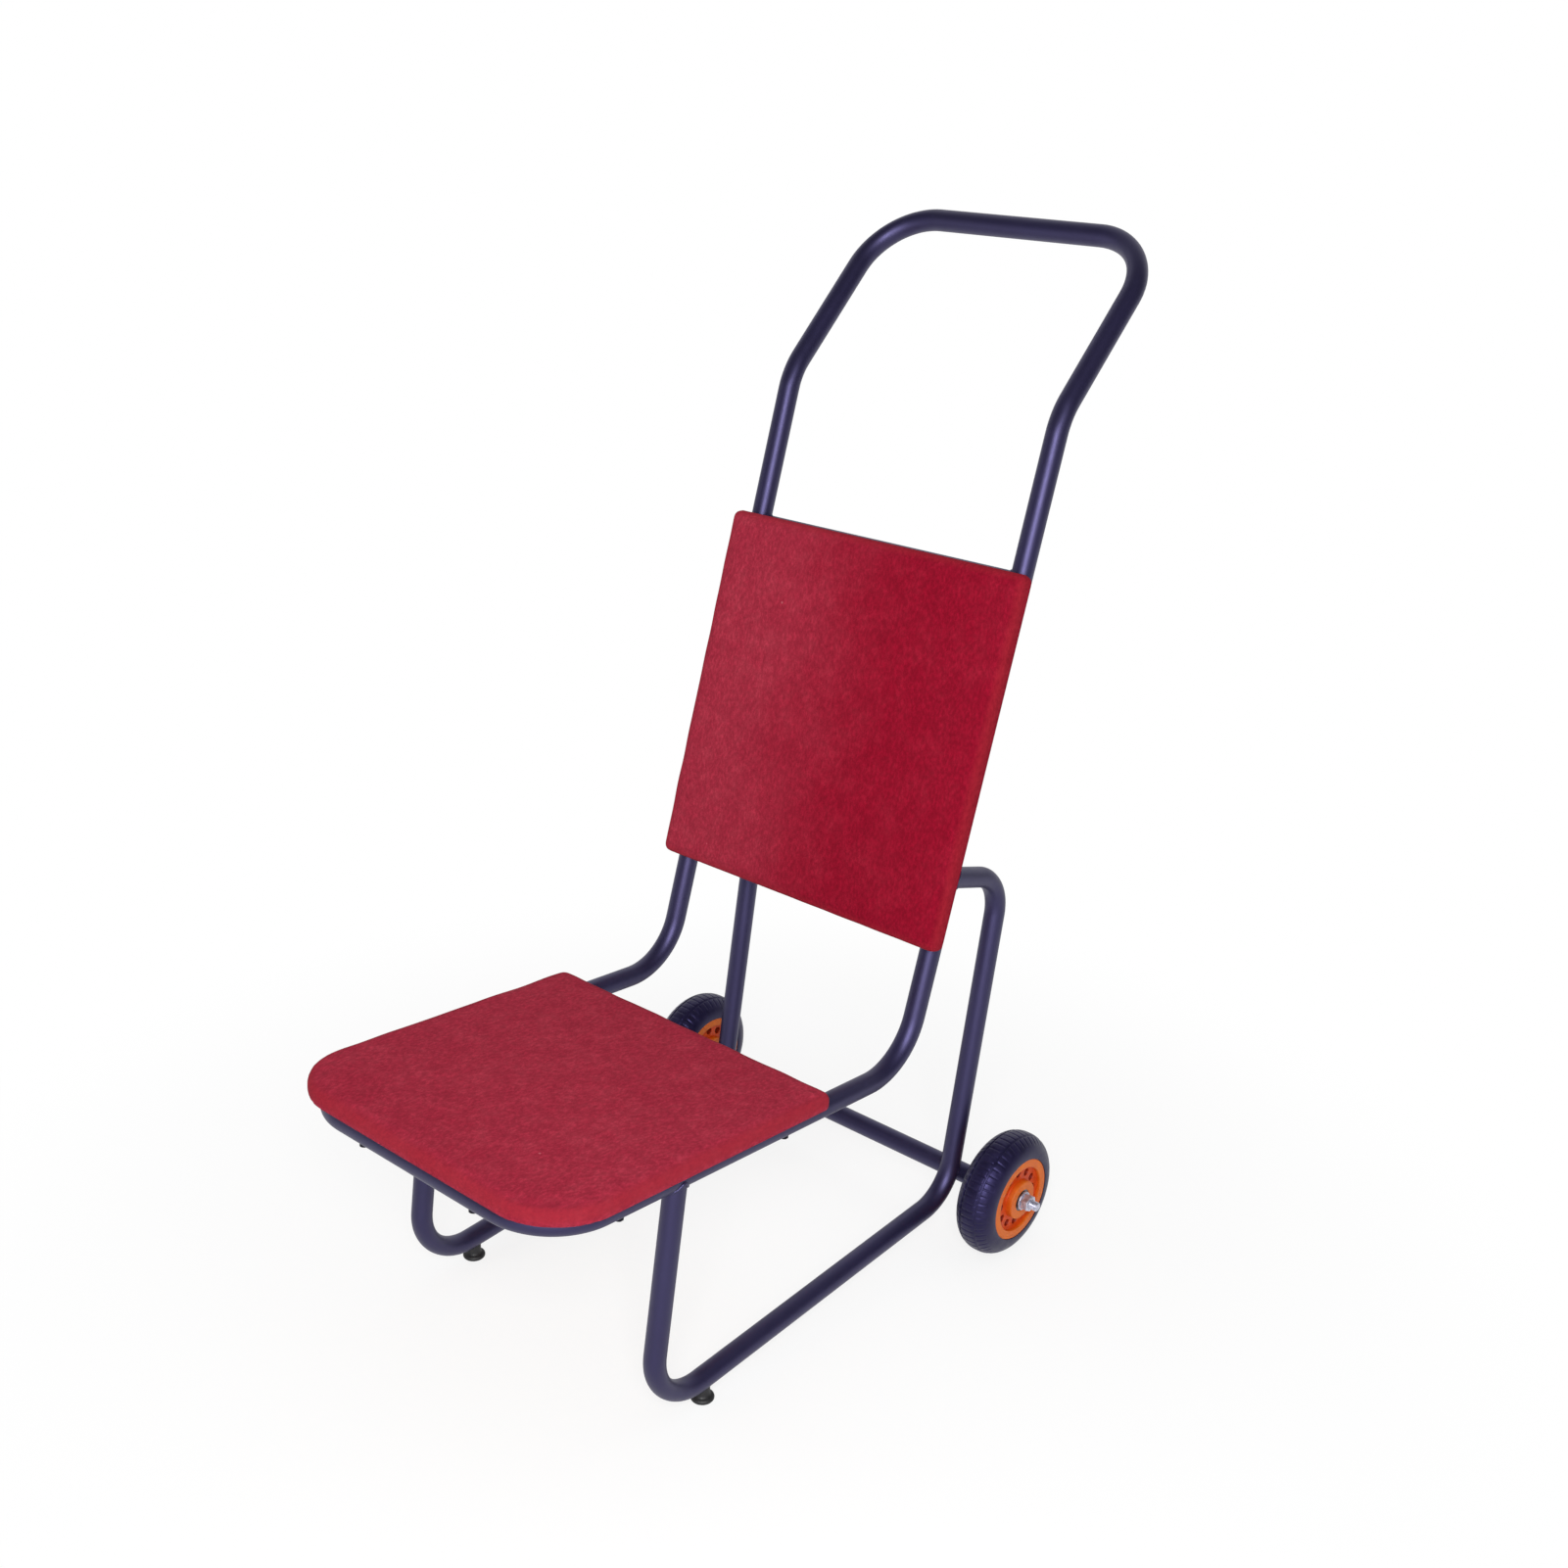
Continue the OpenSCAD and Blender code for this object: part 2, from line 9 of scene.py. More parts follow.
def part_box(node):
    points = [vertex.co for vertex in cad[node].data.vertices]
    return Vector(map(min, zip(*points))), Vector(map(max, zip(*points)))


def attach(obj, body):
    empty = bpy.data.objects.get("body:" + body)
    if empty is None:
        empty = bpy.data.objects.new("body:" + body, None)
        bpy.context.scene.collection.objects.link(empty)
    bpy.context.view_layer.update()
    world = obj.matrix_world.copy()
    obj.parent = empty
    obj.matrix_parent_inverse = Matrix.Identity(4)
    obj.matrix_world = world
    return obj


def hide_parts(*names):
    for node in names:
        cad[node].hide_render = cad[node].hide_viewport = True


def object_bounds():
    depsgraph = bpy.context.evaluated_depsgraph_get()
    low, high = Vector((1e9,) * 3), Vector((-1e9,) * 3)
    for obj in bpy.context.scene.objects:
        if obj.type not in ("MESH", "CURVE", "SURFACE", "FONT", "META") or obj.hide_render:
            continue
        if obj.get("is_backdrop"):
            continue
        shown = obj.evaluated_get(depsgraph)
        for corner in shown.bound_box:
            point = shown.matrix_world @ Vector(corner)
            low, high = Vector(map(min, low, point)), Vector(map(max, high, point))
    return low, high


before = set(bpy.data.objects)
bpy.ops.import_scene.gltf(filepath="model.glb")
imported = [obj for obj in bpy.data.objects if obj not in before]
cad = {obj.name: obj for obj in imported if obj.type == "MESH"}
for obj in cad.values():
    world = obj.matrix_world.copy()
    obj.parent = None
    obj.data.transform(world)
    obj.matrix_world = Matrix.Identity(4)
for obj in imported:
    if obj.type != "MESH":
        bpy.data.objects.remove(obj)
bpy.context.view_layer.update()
mm = 0.001
print("frame loaded:", len(cad), "CAD nodes")


def hexLinear(code):
    parts = [int(code[i:i + 2], 16) / 255 for i in (1, 3, 5)]
    return tuple(c / 12.92 if c <= 0.04045 else ((c + 0.055) / 1.055) ** 2.4 for c in parts) + (1.0,)


def addNode(tree, kind, settings=None, links=None):
    node = tree.nodes.new("ShaderNode" + kind)
    for key, value in (settings or {}).items():
        if isinstance(key, str) and key[0].islower():
            setattr(node, key, value)
        else:
            node.inputs[key].default_value = value
    for key, source in (links or {}).items():
        tree.links.new(source, node.inputs[key])
    return node


def startMaterial(name):
    mat = bpy.data.materials.new(name)
    mat.use_nodes = True
    mat.node_tree.nodes.clear()
    return mat, mat.node_tree


def rampStops(node, stops):
    ramp = node.color_ramp
    while len(ramp.elements) > len(stops):
        ramp.elements.remove(ramp.elements[-1])
    while len(ramp.elements) < len(stops):
        ramp.elements.new(1.0)
    for element, (place, code) in zip(ramp.elements, stops):
        element.position = place
        element.color = hexLinear(code)


def perMm(size):
    return 1.0 / (size * mm)


def wear(obj, mat):
    obj.data.materials.clear()
    obj.data.materials.append(mat)


def putMesh(name, bm, mat, matrix=None, smoothAngle=40.0):
    bmesh.ops.recalc_face_normals(bm, faces=bm.faces[:])
    mesh = bpy.data.meshes.new(name)
    bm.to_mesh(mesh)
    bm.free()
    obj = bpy.data.objects.new(name, mesh)
    bpy.context.scene.collection.objects.link(obj)
    if matrix is not None:
        obj.matrix_world = matrix
    mesh.shade_smooth()
    mesh.set_sharp_from_angle(angle=math.radians(smoothAngle))
    wear(obj, mat)
    return obj


def turns(count):
    return [2 * math.pi * j / count for j in range(count)]


def skin(bm, rings, closed=False):
    # quads from ring to ring; an open run of rings is capped at both ends
    others = rings[1:] + rings[:1] if closed else rings[1:]
    for low, high in zip(rings, others):
        for j in range(len(low)):
            n = (j + 1) % len(low)
            bm.faces.new((low[j], low[n], high[n], high[j]))
    if not closed:
        bm.faces.new(rings[0][::-1])
        bm.faces.new(rings[-1])


def writeLayer(obj, name, values):
    obj.data.attributes.new(name, "FLOAT", "POINT").data.foreach_set("value", values.astype(np.float32))


def settle(obj, body, slot, *nodes):
    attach(obj, body)
    if nodes:
        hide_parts(*nodes)
    return obj


# main points of the trolley, in millimetres as in the part's source
trolley = {
    "halfWidth": 193.0, "tubeRadius": 12.5, "tubeWall": 1.5,
    "backLean": 16.0, "seatRise": 3.5, "handleLean": 45.0,
    "backLength": 755.0, "handleLength": 244.0, "seatLength": 553.0,
    "cornerHeight": 286.0, "splitAt": 373.6, "footAhead": 331.0,
    "loopAt": 231.0, "loopReach": 114.0, "heel": (114.0, 58.0), "toe": (-416.0, 23.0), "legAt": 378.0,
    "railAt": 570.0,
}
wheelMid = sum(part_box("right_tyre"), Vector()) / 2 / mm
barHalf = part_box("axle_bar")[1].x / mm
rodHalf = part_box("axle_rod")[1].x / mm
cornerY = (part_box("right_foot")[0].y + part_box("right_foot")[1].y) / 2 / mm + trolley["footAhead"]
lean, rise, tip = (math.radians(trolley[k]) for k in ("backLean", "seatRise", "handleLean"))
backDir = Vector((0, math.sin(lean), math.cos(lean)))
backFace = Vector((0, -math.cos(lean), math.sin(lean)))
seatDir = Vector((0, -math.cos(rise), math.sin(rise)))
seatFace = Vector((0, math.sin(rise), math.cos(rise)))
handleDir = Vector((0, math.sin(tip), math.cos(tip)))
corner = Vector((0, cornerY, trolley["cornerHeight"]))
knee = corner + trolley["backLength"] * backDir
bar = knee + trolley["handleLength"] * handleDir
front = corner + trolley["seatLength"] * seatDir
split = corner + trolley["splitAt"] * backDir
loopTop = corner + trolley["loopAt"] * backDir
loopBack = loopTop - trolley["loopReach"] * backFace
heel = Vector((0, cornerY + trolley["heel"][0], trolley["heel"][1]))
toe = Vector((0, cornerY + trolley["toe"][0], trolley["toe"][1]))
legTop = corner + trolley["legAt"] * seatDir
railMid = corner + trolley["railAt"] * backDir
axle = Vector((0, wheelMid.y, wheelMid.z))
tubeR = trolley["tubeRadius"]


def sidePoint(side, point):
    return Vector((side * trolley["halfWidth"], point.y, point.z))


def bothSides(*points):
    # a bow's points, from its left end round to its right one
    return [sidePoint(-1, p) for p in points] + [sidePoint(1, p) for p in points[::-1]]


def makePowderCoat():
    # satin polyester powder coat, baked on steel tube: dark indigo, a soft violet sheen, faint orange peel,
    # dull rubbed spots
    mat, tree = startMaterial("powderCoatIndigo")
    place = addNode(tree, "TexCoord").outputs["Object"]
    cloud = addNode(tree, "TexNoise", {"Scale": perMm(90), "Detail": 3.0}, {"Vector": place})
    tint = addNode(tree, "ValToRGB", None, {"Fac": cloud.outputs["Fac"]})
    rampStops(tint, [(0.3, "#110e24"), (0.7, "#16132d")])
    rub = addNode(tree, "TexNoise", {"Scale": perMm(16), "Detail": 5.0, "Roughness": 0.6}, {"Vector": place})
    rubMask = addNode(tree, "MapRange", {"From Min": 0.62, "From Max": 0.78, "To Max": 0.22},
                      {"Value": rub.outputs["Fac"]})
    colour = addNode(tree, "Mix", {"data_type": "RGBA", 7: hexLinear("#2e2a48")},
                     {0: rubMask.outputs["Result"], 6: tint.outputs["Color"]})
    dull = addNode(tree, "MapRange", {"From Min": 0.3, "From Max": 0.75, "To Min": 0.43, "To Max": 0.49},
                   {"Value": rub.outputs["Fac"]})
    peel = addNode(tree, "TexNoise", {"Scale": perMm(2.2), "Detail": 1.0}, {"Vector": place})
    bump = addNode(tree, "Bump", {"Strength": 0.07, "Distance": 0.05 * mm}, {"Height": peel.outputs["Fac"]})
    shader = addNode(tree, "BsdfPrincipled",
                     {"IOR": 1.52, "Specular IOR Level": 1.0, "Specular Tint": hexLinear("#b6aef4")},
                     {"Base Color": colour.outputs[2], "Roughness": dull.outputs["Result"],
                      "Normal": bump.outputs["Normal"]})
    addNode(tree, "OutputMaterial", None, {"Surface": shader.outputs["BSDF"]})
    return mat


def makeFelt():
    # needle-punched wool felt, napped: mottled fibres, no gloss; a painted sheen greys and lightens one side,
    # and the rolled edges are rubbed and painted lighter where they face the lamps
    mat, tree = startMaterial("needleFeltRed")
    place = addNode(tree, "TexCoord").outputs["Object"]
    cloud = addNode(tree, "TexNoise", {"Scale": perMm(24), "Detail": 5.0, "Roughness": 0.68},
                    {"Vector": place})
    deep = addNode(tree, "ValToRGB", None, {"Fac": cloud.outputs["Fac"]})
    rampStops(deep, [(0.34, "#850b24"), (0.5, "#890d26"), (0.66, "#8e132a")])
    # the lighter, greyer tone is a painted sheen on one side of the panel, not a colour of the felt
    paintedSheenTone = addNode(tree, "ValToRGB", None, {"Fac": cloud.outputs["Fac"]})
    rampStops(paintedSheenTone, [(0.34, "#97273a"), (0.5, "#9b2b3d"), (0.66, "#a03142")])
    # this attribute says where the painted sheen falls
    fade = addNode(tree, "Attribute", {"attribute_name": "paintedSheenFade"})
    patchy = addNode(tree, "TexNoise", {"Scale": perMm(70), "Detail": 2.0}, {"Vector": place})
    paintedSheenNoise = addNode(tree, "Math", {"operation": "MULTIPLY_ADD", 1: 0.5},
                        {0: patchy.outputs["Fac"], 2: fade.outputs["Fac"]})
    paintedSheenMask = addNode(tree, "MapRange",
                       {"interpolation_type": "SMOOTHSTEP", "From Min": 0.15, "From Max": 1.15},
                       {"Value": paintedSheenNoise.outputs["Value"]})
    tint = addNode(tree, "Mix", {"data_type": "RGBA"},
                   {0: paintedSheenMask.outputs["Result"], 6: deep.outputs["Color"], 7: paintedSheenTone.outputs["Color"]})
    nap = addNode(tree, "Mapping", {"Rotation": (0.0, 0.0, 0.7), "Scale": (1.0, 0.6, 1.0)}, {"Vector": place})
    fibre = addNode(tree, "TexNoise", {"Scale": perMm(3.4), "Detail": 4.0, "Roughness": 0.7},
                    {"Vector": nap.outputs["Vector"]})  # fibre tufts drawn coarse so that they show
    fibreTone = addNode(tree, "ValToRGB", None, {"Fac": fibre.outputs["Fac"]})
    rampStops(fibreTone, [(0.32, "#9c9c9c"), (0.5, "#bcbcbc"), (0.68, "#e6e6e6")])
    mottled = addNode(tree, "Mix", {"data_type": "RGBA", "blend_type": "OVERLAY", 0: 0.6},
                      {6: tint.outputs[2], 7: fibreTone.outputs["Color"]})
    lint = addNode(tree, "TexVoronoi", {"Scale": perMm(62), "Randomness": 1.0}, {"Vector": place})
    lintMask = addNode(tree, "MapRange", {"From Min": 0.012, "From Max": 0.03, "To Min": 0.55, "To Max": 0.0},
                       {"Value": lint.outputs["Distance"]})
    linted = addNode(tree, "Mix", {"data_type": "RGBA", 7: hexLinear("#c4737a")},
                     {0: lintMask.outputs["Result"], 6: mottled.outputs[2]})
    # paler warm red on the rolled edges: partly rubbed wear, partly painted light where the edges face the lamps
    edge = addNode(tree, "Attribute", {"attribute_name": "edgeRubAndLight"})
    edgeNoise = addNode(tree, "Math", {"operation": "MULTIPLY"},
                        {0: edge.outputs["Fac"], 1: fibre.outputs["Fac"]})
    edgeMask = addNode(tree, "MapRange", {"From Min": 0.05, "From Max": 0.6, "To Max": 0.6},
                       {"Value": edgeNoise.outputs["Value"]})
    colour = addNode(tree, "Mix", {"data_type": "RGBA", 7: hexLinear("#94242d")},
                     {0: edgeMask.outputs["Result"], 6: linted.outputs[2]})
    fuzz = addNode(tree, "TexNoise", {"Scale": perMm(1.3), "Detail": 4.0, "Roughness": 0.7},
                   {"Vector": place})
    height = addNode(tree, "Math", {"operation": "ADD"}, {0: fibre.outputs["Fac"], 1: fuzz.outputs["Fac"]})
    bump = addNode(tree, "Bump", {"Strength": 0.4, "Distance": 0.7 * mm}, {"Height": height.outputs["Value"]})
    rough = addNode(tree, "MapRange", {"To Min": 0.9, "To Max": 1.0}, {"Value": fuzz.outputs["Fac"]})
    shader = addNode(tree, "BsdfPrincipled",
                     {"Specular IOR Level": 0.04, "Sheen Weight": 0.025, "Sheen Roughness": 0.5,
                      "Sheen Tint": hexLinear("#f0a0a8")},
                     {"Base Color": colour.outputs[2], "Roughness": rough.outputs["Result"],
                      "Normal": bump.outputs["Normal"]})
    addNode(tree, "OutputMaterial", None, {"Surface": shader.outputs["BSDF"]})
    return mat


def makeTyreRubber():
    # moulded black rubber: semi-matt, bluish where it catches the light, with dust on it
    mat, tree = startMaterial("tyreRubberBlack")
    place = addNode(tree, "TexCoord").outputs["Object"]
    dust = addNode(tree, "TexNoise", {"Scale": perMm(12), "Detail": 6.0, "Roughness": 0.7}, {"Vector": place})
    tint = addNode(tree, "ValToRGB", None, {"Fac": dust.outputs["Fac"]})
    rampStops(tint, [(0.35, "#151228"), (0.6, "#1c1833"), (0.8, "#2c2847")])
    gloss = addNode(tree, "MapRange", {"From Min": 0.3, "From Max": 0.8, "To Min": 0.3, "To Max": 0.56},
                    {"Value": dust.outputs["Fac"]})
    grain = addNode(tree, "TexNoise", {"Scale": perMm(0.9), "Detail": 2.0}, {"Vector": place})
    bump = addNode(tree, "Bump", {"Strength": 0.3, "Distance": 0.12 * mm}, {"Height": grain.outputs["Fac"]})
    shader = addNode(tree, "BsdfPrincipled",
                     {"IOR": 1.52, "Specular IOR Level": 0.45, "Specular Tint": hexLinear("#a8a0f4")},
                     {"Base Color": tint.outputs["Color"], "Roughness": gloss.outputs["Result"],
                      "Normal": bump.outputs["Normal"]})
    addNode(tree, "OutputMaterial", None, {"Surface": shader.outputs["BSDF"]})
    return mat


def makeOrangePlastic():
    # injection-moulded polypropylene: deep orange with a waxy sheen and faint flow marks,
    # painted light on the proud lip and hub, painted shade in the recess and the holes
    mat, tree = startMaterial("polypropyleneOrange")
    place = addNode(tree, "TexCoord").outputs["Object"]
    flow = addNode(tree, "TexNoise", {"Scale": perMm(14), "Detail": 4.0, "Distortion": 0.6},
                   {"Vector": place})
    # darker tone of the recessed disc: painted shade
    deep = addNode(tree, "ValToRGB", None, {"Fac": flow.outputs["Fac"]})
    rampStops(deep, [(0.3, "#c23e00"), (0.7, "#ce4802")])
    # paler tone of the proud lip and hub: painted light
    proudLitTone = addNode(tree, "ValToRGB", None, {"Fac": flow.outputs["Fac"]})
    rampStops(proudLitTone, [(0.3, "#cb5c10"), (0.7, "#d86c1a")])
    proud = addNode(tree, "Attribute", {"attribute_name": "proud"})
    tint = addNode(tree, "Mix", {"data_type": "RGBA"},
                   {0: proud.outputs["Fac"], 6: deep.outputs["Color"], 7: proudLitTone.outputs["Color"]})
    # dark red in the holes: painted shade
    inHole = addNode(tree, "Attribute", {"attribute_name": "inHole"})
    colour = addNode(tree, "Mix", {"data_type": "RGBA", 7: hexLinear("#861c00")},
                     {0: inHole.outputs["Fac"], 6: tint.outputs[2]})
    gloss = addNode(tree, "MapRange", {"From Min": 0.3, "From Max": 0.7, "To Min": 0.42, "To Max": 0.54},
                    {"Value": flow.outputs["Fac"]})
    grain = addNode(tree, "TexNoise", {"Scale": perMm(0.7), "Detail": 2.0}, {"Vector": place})
    bump = addNode(tree, "Bump", {"Strength": 0.2, "Distance": 0.06 * mm}, {"Height": grain.outputs["Fac"]})
    shader = addNode(tree, "BsdfPrincipled", {"IOR": 1.49, "Specular IOR Level": 0.25},
                     {"Base Color": colour.outputs[2], "Roughness": gloss.outputs["Result"],
                      "Normal": bump.outputs["Normal"]})
    addNode(tree, "OutputMaterial", None, {"Surface": shader.outputs["BSDF"]})
    return mat


def makeSteel(name, dark, light, low, high):
    # turned steel, zinc plated or ground: cool grey metal with fine machining marks and a patchy sheen
    mat, tree = startMaterial(name)
    place = addNode(tree, "TexCoord").outputs["Object"]
    patch = addNode(tree, "TexNoise", {"Scale": perMm(5), "Detail": 5.0}, {"Vector": place})
    tint = addNode(tree, "ValToRGB", None, {"Fac": patch.outputs["Fac"]})
    rampStops(tint, [(0.35, dark), (0.7, light)])
    gloss = addNode(tree, "MapRange", {"From Min": 0.3, "From Max": 0.7, "To Min": low, "To Max": high},
                    {"Value": patch.outputs["Fac"]})
    marks = addNode(tree, "Mapping", {"Scale": (8.0, 1.0, 1.0)}, {"Vector": place})
    fine = addNode(tree, "TexNoise", {"Scale": perMm(2), "Detail": 3.0}, {"Vector": marks.outputs["Vector"]})
    bump = addNode(tree, "Bump", {"Strength": 0.2, "Distance": 0.05 * mm}, {"Height": fine.outputs["Fac"]})
    shader = addNode(tree, "BsdfPrincipled", {"Metallic": 1.0},
                     {"Base Color": tint.outputs["Color"], "Roughness": gloss.outputs["Result"],
                      "Normal": bump.outputs["Normal"]})
    addNode(tree, "OutputMaterial", None, {"Surface": shader.outputs["BSDF"]})
    return mat


def makePlywood():
    # raw rotary-cut birch plywood: pale tan, long wavy grain across the board, dry and matt
    mat, tree = startMaterial("birchPlywood")
    place = addNode(tree, "TexCoord").outputs["Object"]
    grainMap = addNode(tree, "Mapping", {"Scale": (0.08, 1.0, 1.0)}, {"Vector": place})
    grain = addNode(tree, "TexNoise",
                    {"Scale": perMm(9), "Detail": 7.0, "Roughness": 0.62, "Distortion": 0.7},
                    {"Vector": grainMap.outputs["Vector"]})
    tint = addNode(tree, "ValToRGB", None, {"Fac": grain.outputs["Fac"]})
    rampStops(tint, [(0.3, "#b08558"), (0.5, "#c8a272"), (0.7, "#d6b488")])
    poreMap = addNode(tree, "Mapping", {"Scale": (0.05, 1.0, 1.0)}, {"Vector": place})
    pores = addNode(tree, "TexNoise", {"Scale": perMm(1.8), "Detail": 3.0, "Roughness": 0.7},
                    {"Vector": poreMap.outputs["Vector"]})
    poreMask = addNode(tree, "MapRange", {"From Min": 0.54, "From Max": 0.7, "To Max": 0.45},
                       {"Value": pores.outputs["Fac"]})
    colour = addNode(tree, "Mix", {"data_type": "RGBA", 7: hexLinear("#8e6238")},
                     {0: poreMask.outputs["Result"], 6: tint.outputs["Color"]})
    bump = addNode(tree, "Bump", {"Strength": 0.3, "Distance": 0.2 * mm}, {"Height": grain.outputs["Fac"]})
    dry = addNode(tree, "MapRange", {"To Min": 0.7, "To Max": 0.9}, {"Value": grain.outputs["Fac"]})
    shader = addNode(tree, "BsdfPrincipled", {"IOR": 1.45},
                     {"Base Color": colour.outputs[2], "Roughness": dry.outputs["Result"],
                      "Normal": bump.outputs["Normal"]})
    addNode(tree, "OutputMaterial", None, {"Surface": shader.outputs["BSDF"]})
    return mat


def makeBlackMoulding(name, dark, light, low, high):
    # moulded black rubber or nylon: near black, fine spark-eroded grain, greyer where it is scuffed
    mat, tree = startMaterial(name)
    place = addNode(tree, "TexCoord").outputs["Object"]
    scuff = addNode(tree, "TexNoise", {"Scale": perMm(4), "Detail": 6.0, "Roughness": 0.7}, {"Vector": place})
    tint = addNode(tree, "ValToRGB", None, {"Fac": scuff.outputs["Fac"]})
    rampStops(tint, [(0.4, dark), (0.8, light)])
    gloss = addNode(tree, "MapRange", {"From Min": 0.3, "From Max": 0.8, "To Min": low, "To Max": high},
                    {"Value": scuff.outputs["Fac"]})
    grain = addNode(tree, "TexNoise", {"Scale": perMm(0.6), "Detail": 2.0}, {"Vector": place})
    bump = addNode(tree, "Bump", {"Strength": 0.3, "Distance": 0.08 * mm}, {"Height": grain.outputs["Fac"]})
    shader = addNode(tree, "BsdfPrincipled", {"IOR": 1.5},
                     {"Base Color": tint.outputs["Color"], "Roughness": gloss.outputs["Result"],
                      "Normal": bump.outputs["Normal"]})
    addNode(tree, "OutputMaterial", None, {"Surface": shader.outputs["BSDF"]})
    return mat


paint = makePowderCoat()
felt = makeFelt()
tyreRubber = makeTyreRubber()
orange = makeOrangePlastic()
zinc = makeSteel("zincPlatedSteel", "#b2b2c2", "#d8d8e6", 0.4, 0.54)
blackZinc = makeSteel("blackZincSteel", "#1d1c24", "#2d2c35", 0.42, 0.58)
bearingSteel = makeSteel("groundBearingSteel", "#55565e", "#77787f", 0.3, 0.45)
plywood = makePlywood()
footRubber = makeBlackMoulding("footRubberBlack", "#0c0b0f", "#1d1c22", 0.5, 0.7)
nylon = makeBlackMoulding("nylonBlack", "#161518", "#2a292d", 0.4, 0.55)
print("materials made")


tubeLook = {"sides": 40, "flatten": 0.07, "widen": 0.03, "ovalRamp": 2.2, "bendStep": 4.0, "leastSteps": 4,
            "endEase": 0.5, "copeFrom": 2.5}


def bentPath(points, radii):
    rows = [(points[0], (points[1] - points[0]).normalized(), 0.0, Vector((1, 0, 0)))]
    for i, radius in enumerate(radii, 1):
        into = (points[i] - points[i - 1]).normalized()
        away = (points[i + 1] - points[i]).normalized()
        turn = into.angle(away)
        inward = (away - into * into.dot(away)).normalized()
        start = points[i] - into * radius * math.tan(turn / 2)
        centre = start + inward * radius
        steps = max(tubeLook["leastSteps"], math.ceil(math.degrees(turn) / tubeLook["bendStep"]))
        for k in range(steps + 1):
            a = turn * k / steps
            side = inward * math.cos(a) - into * math.sin(a)
            share = min(1.0, tubeLook["ovalRamp"] * min(k, steps - k) / steps)
            rows.append((centre - side * radius, into * math.cos(a) + inward * math.sin(a),
                         share * share * (3 - 2 * share), side))
    rows.append((points[-1], (points[-1] - points[-2]).normalized(), 0.0, Vector((1, 0, 0))))
    return rows


def reach(point, along, mate):
    # how far a point goes along a line before it meets the mating tube's surface
    base, axis, radius = mate
    w = (point - base) - axis * (point - base).dot(axis)
    d = along - axis * along.dot(axis)
    a, b, c = d.dot(d), 2 * w.dot(d), w.dot(w) - radius * radius
    root = b * b - 4 * a * c
    return (-b - math.sqrt(max(root, 0.0))) / (2 * a)


def sweepTube(name, points, radii, startMate=None, endMate=None):
    rows = bentPath(points, radii)
    bm = bmesh.new()
    normal = rows[0][1].orthogonal().normalized()
    frames = []
    for k, (place, along, share, side) in enumerate(rows):
        if k:
            normal = rows[k - 1][1].rotation_difference(along) @ normal
        normal = (normal - along * normal.dot(along)).normalized()
        frames.append((place, along, share, side, normal.copy(), along.cross(normal)))

    def ringPoints(k, radius, shift=0.0):
        place, along, share, side, e1, e2 = frames[k]
        out = []
        for a in turns(tubeLook["sides"]):
            off = e1 * math.cos(a) + e2 * math.sin(a)
            c = off.dot(side)
            off = off - side * c * tubeLook["flatten"] * share + (off - side * c) * tubeLook["widen"] * share
            out.append(place + along * shift + off * radius)
        return out

    def endRings(k, mate, outward):
        # rings from the outer wall round to the bore, coped to the mate or eased
        wall, ease = trolley["tubeWall"], tubeLook["endEase"]
        if mate is None:
            return [ringPoints(k, tubeR, -ease * outward), ringPoints(k, tubeR - ease),
                    ringPoints(k, tubeR - wall)]
        along = frames[k][1] * outward
        made = []
        for radius in (tubeR, tubeR - wall):
            ring = ringPoints(k, radius, -tubeLook["copeFrom"] * tubeR * outward)
            made.append([p + along * reach(p, along, mate) for p in ring])
        return made

    last = len(rows) - 1
    startRings, farRings = endRings(0, startMate, -1), endRings(last, endMate, 1)
    rings = startRings[::-1]
    rings += [ringPoints(k, tubeR) for k in range(1, last)]
    rings += farRings
    rings += [ringPoints(k, tubeR - trolley["tubeWall"]) for k in range(last - 1, 0, -1)]
    skin(bm, [[bm.verts.new(p * mm) for p in ring] for ring in rings], closed=True)
    return putMesh(name, bm, paint), farRings[0], startRings[0]


bends = {"handle": 80.0, "knee": 80.0, "seat": 80.0, "front": 73.0, "loopTop": 55.0, "heel": 60.0, "toe": 64.0}
weldGap = 0.05

handleBow, _, _ = sweepTube("handleBow", bothSides(split, knee, bar),
                            [bends["knee"], bends["handle"], bends["handle"], bends["knee"]])
settle(handleBow, "frame", "frame_paint", "handle_bow")

seatBow, _, _ = sweepTube("seatBow", bothSides(split, corner, front),
                          [bends["seat"], bends["front"], bends["front"], bends["seat"]])
settle(seatBow, "frame", "frame_paint", "seat_bow")

seams = []
for side, label in ((-1, "left"), (1, "right")):
    upright = (sidePoint(side, corner), backDir, tubeR + weldGap)
    rail = (sidePoint(side, corner), seatDir, tubeR + weldGap)
    loop, legSeam, topSeam = sweepTube(
        label + "Loop", [sidePoint(side, p) for p in (loopTop, loopBack, heel, toe, legTop)],
        [bends["loopTop"], bends["heel"], bends["toe"]], upright, rail)
    settle(loop, "frame", "frame_paint", label + "_loop")
    seams += [topSeam, legSeam]

railTube, railRight, railLeft = sweepTube(
    "upperRail", bothSides(railMid), [],
    (sidePoint(-1, corner), backDir, tubeR + weldGap), (sidePoint(1, corner), backDir, tubeR + weldGap))
settle(railTube, "frame", "frame_paint", "upper_rail")
seams += [railRight, railLeft]

axleBar, _, _ = sweepTube(
    "axleBar", [Vector((-barHalf, axle.y, axle.z)), Vector((barHalf, axle.y, axle.z))], [])
settle(axleBar, "frame", "frame_paint", "axle_bar")
print("tubes made")

weld = {"radius": 2.0, "ripplePitch": 2.6, "ripple": 0.16, "rippleMean": 0.6, "sides": 10, "spots": 120,
        "saddle": 6.6, "saddleDip": 0.55, "saddleSpots": 60, "saddleGrow": 1.15}


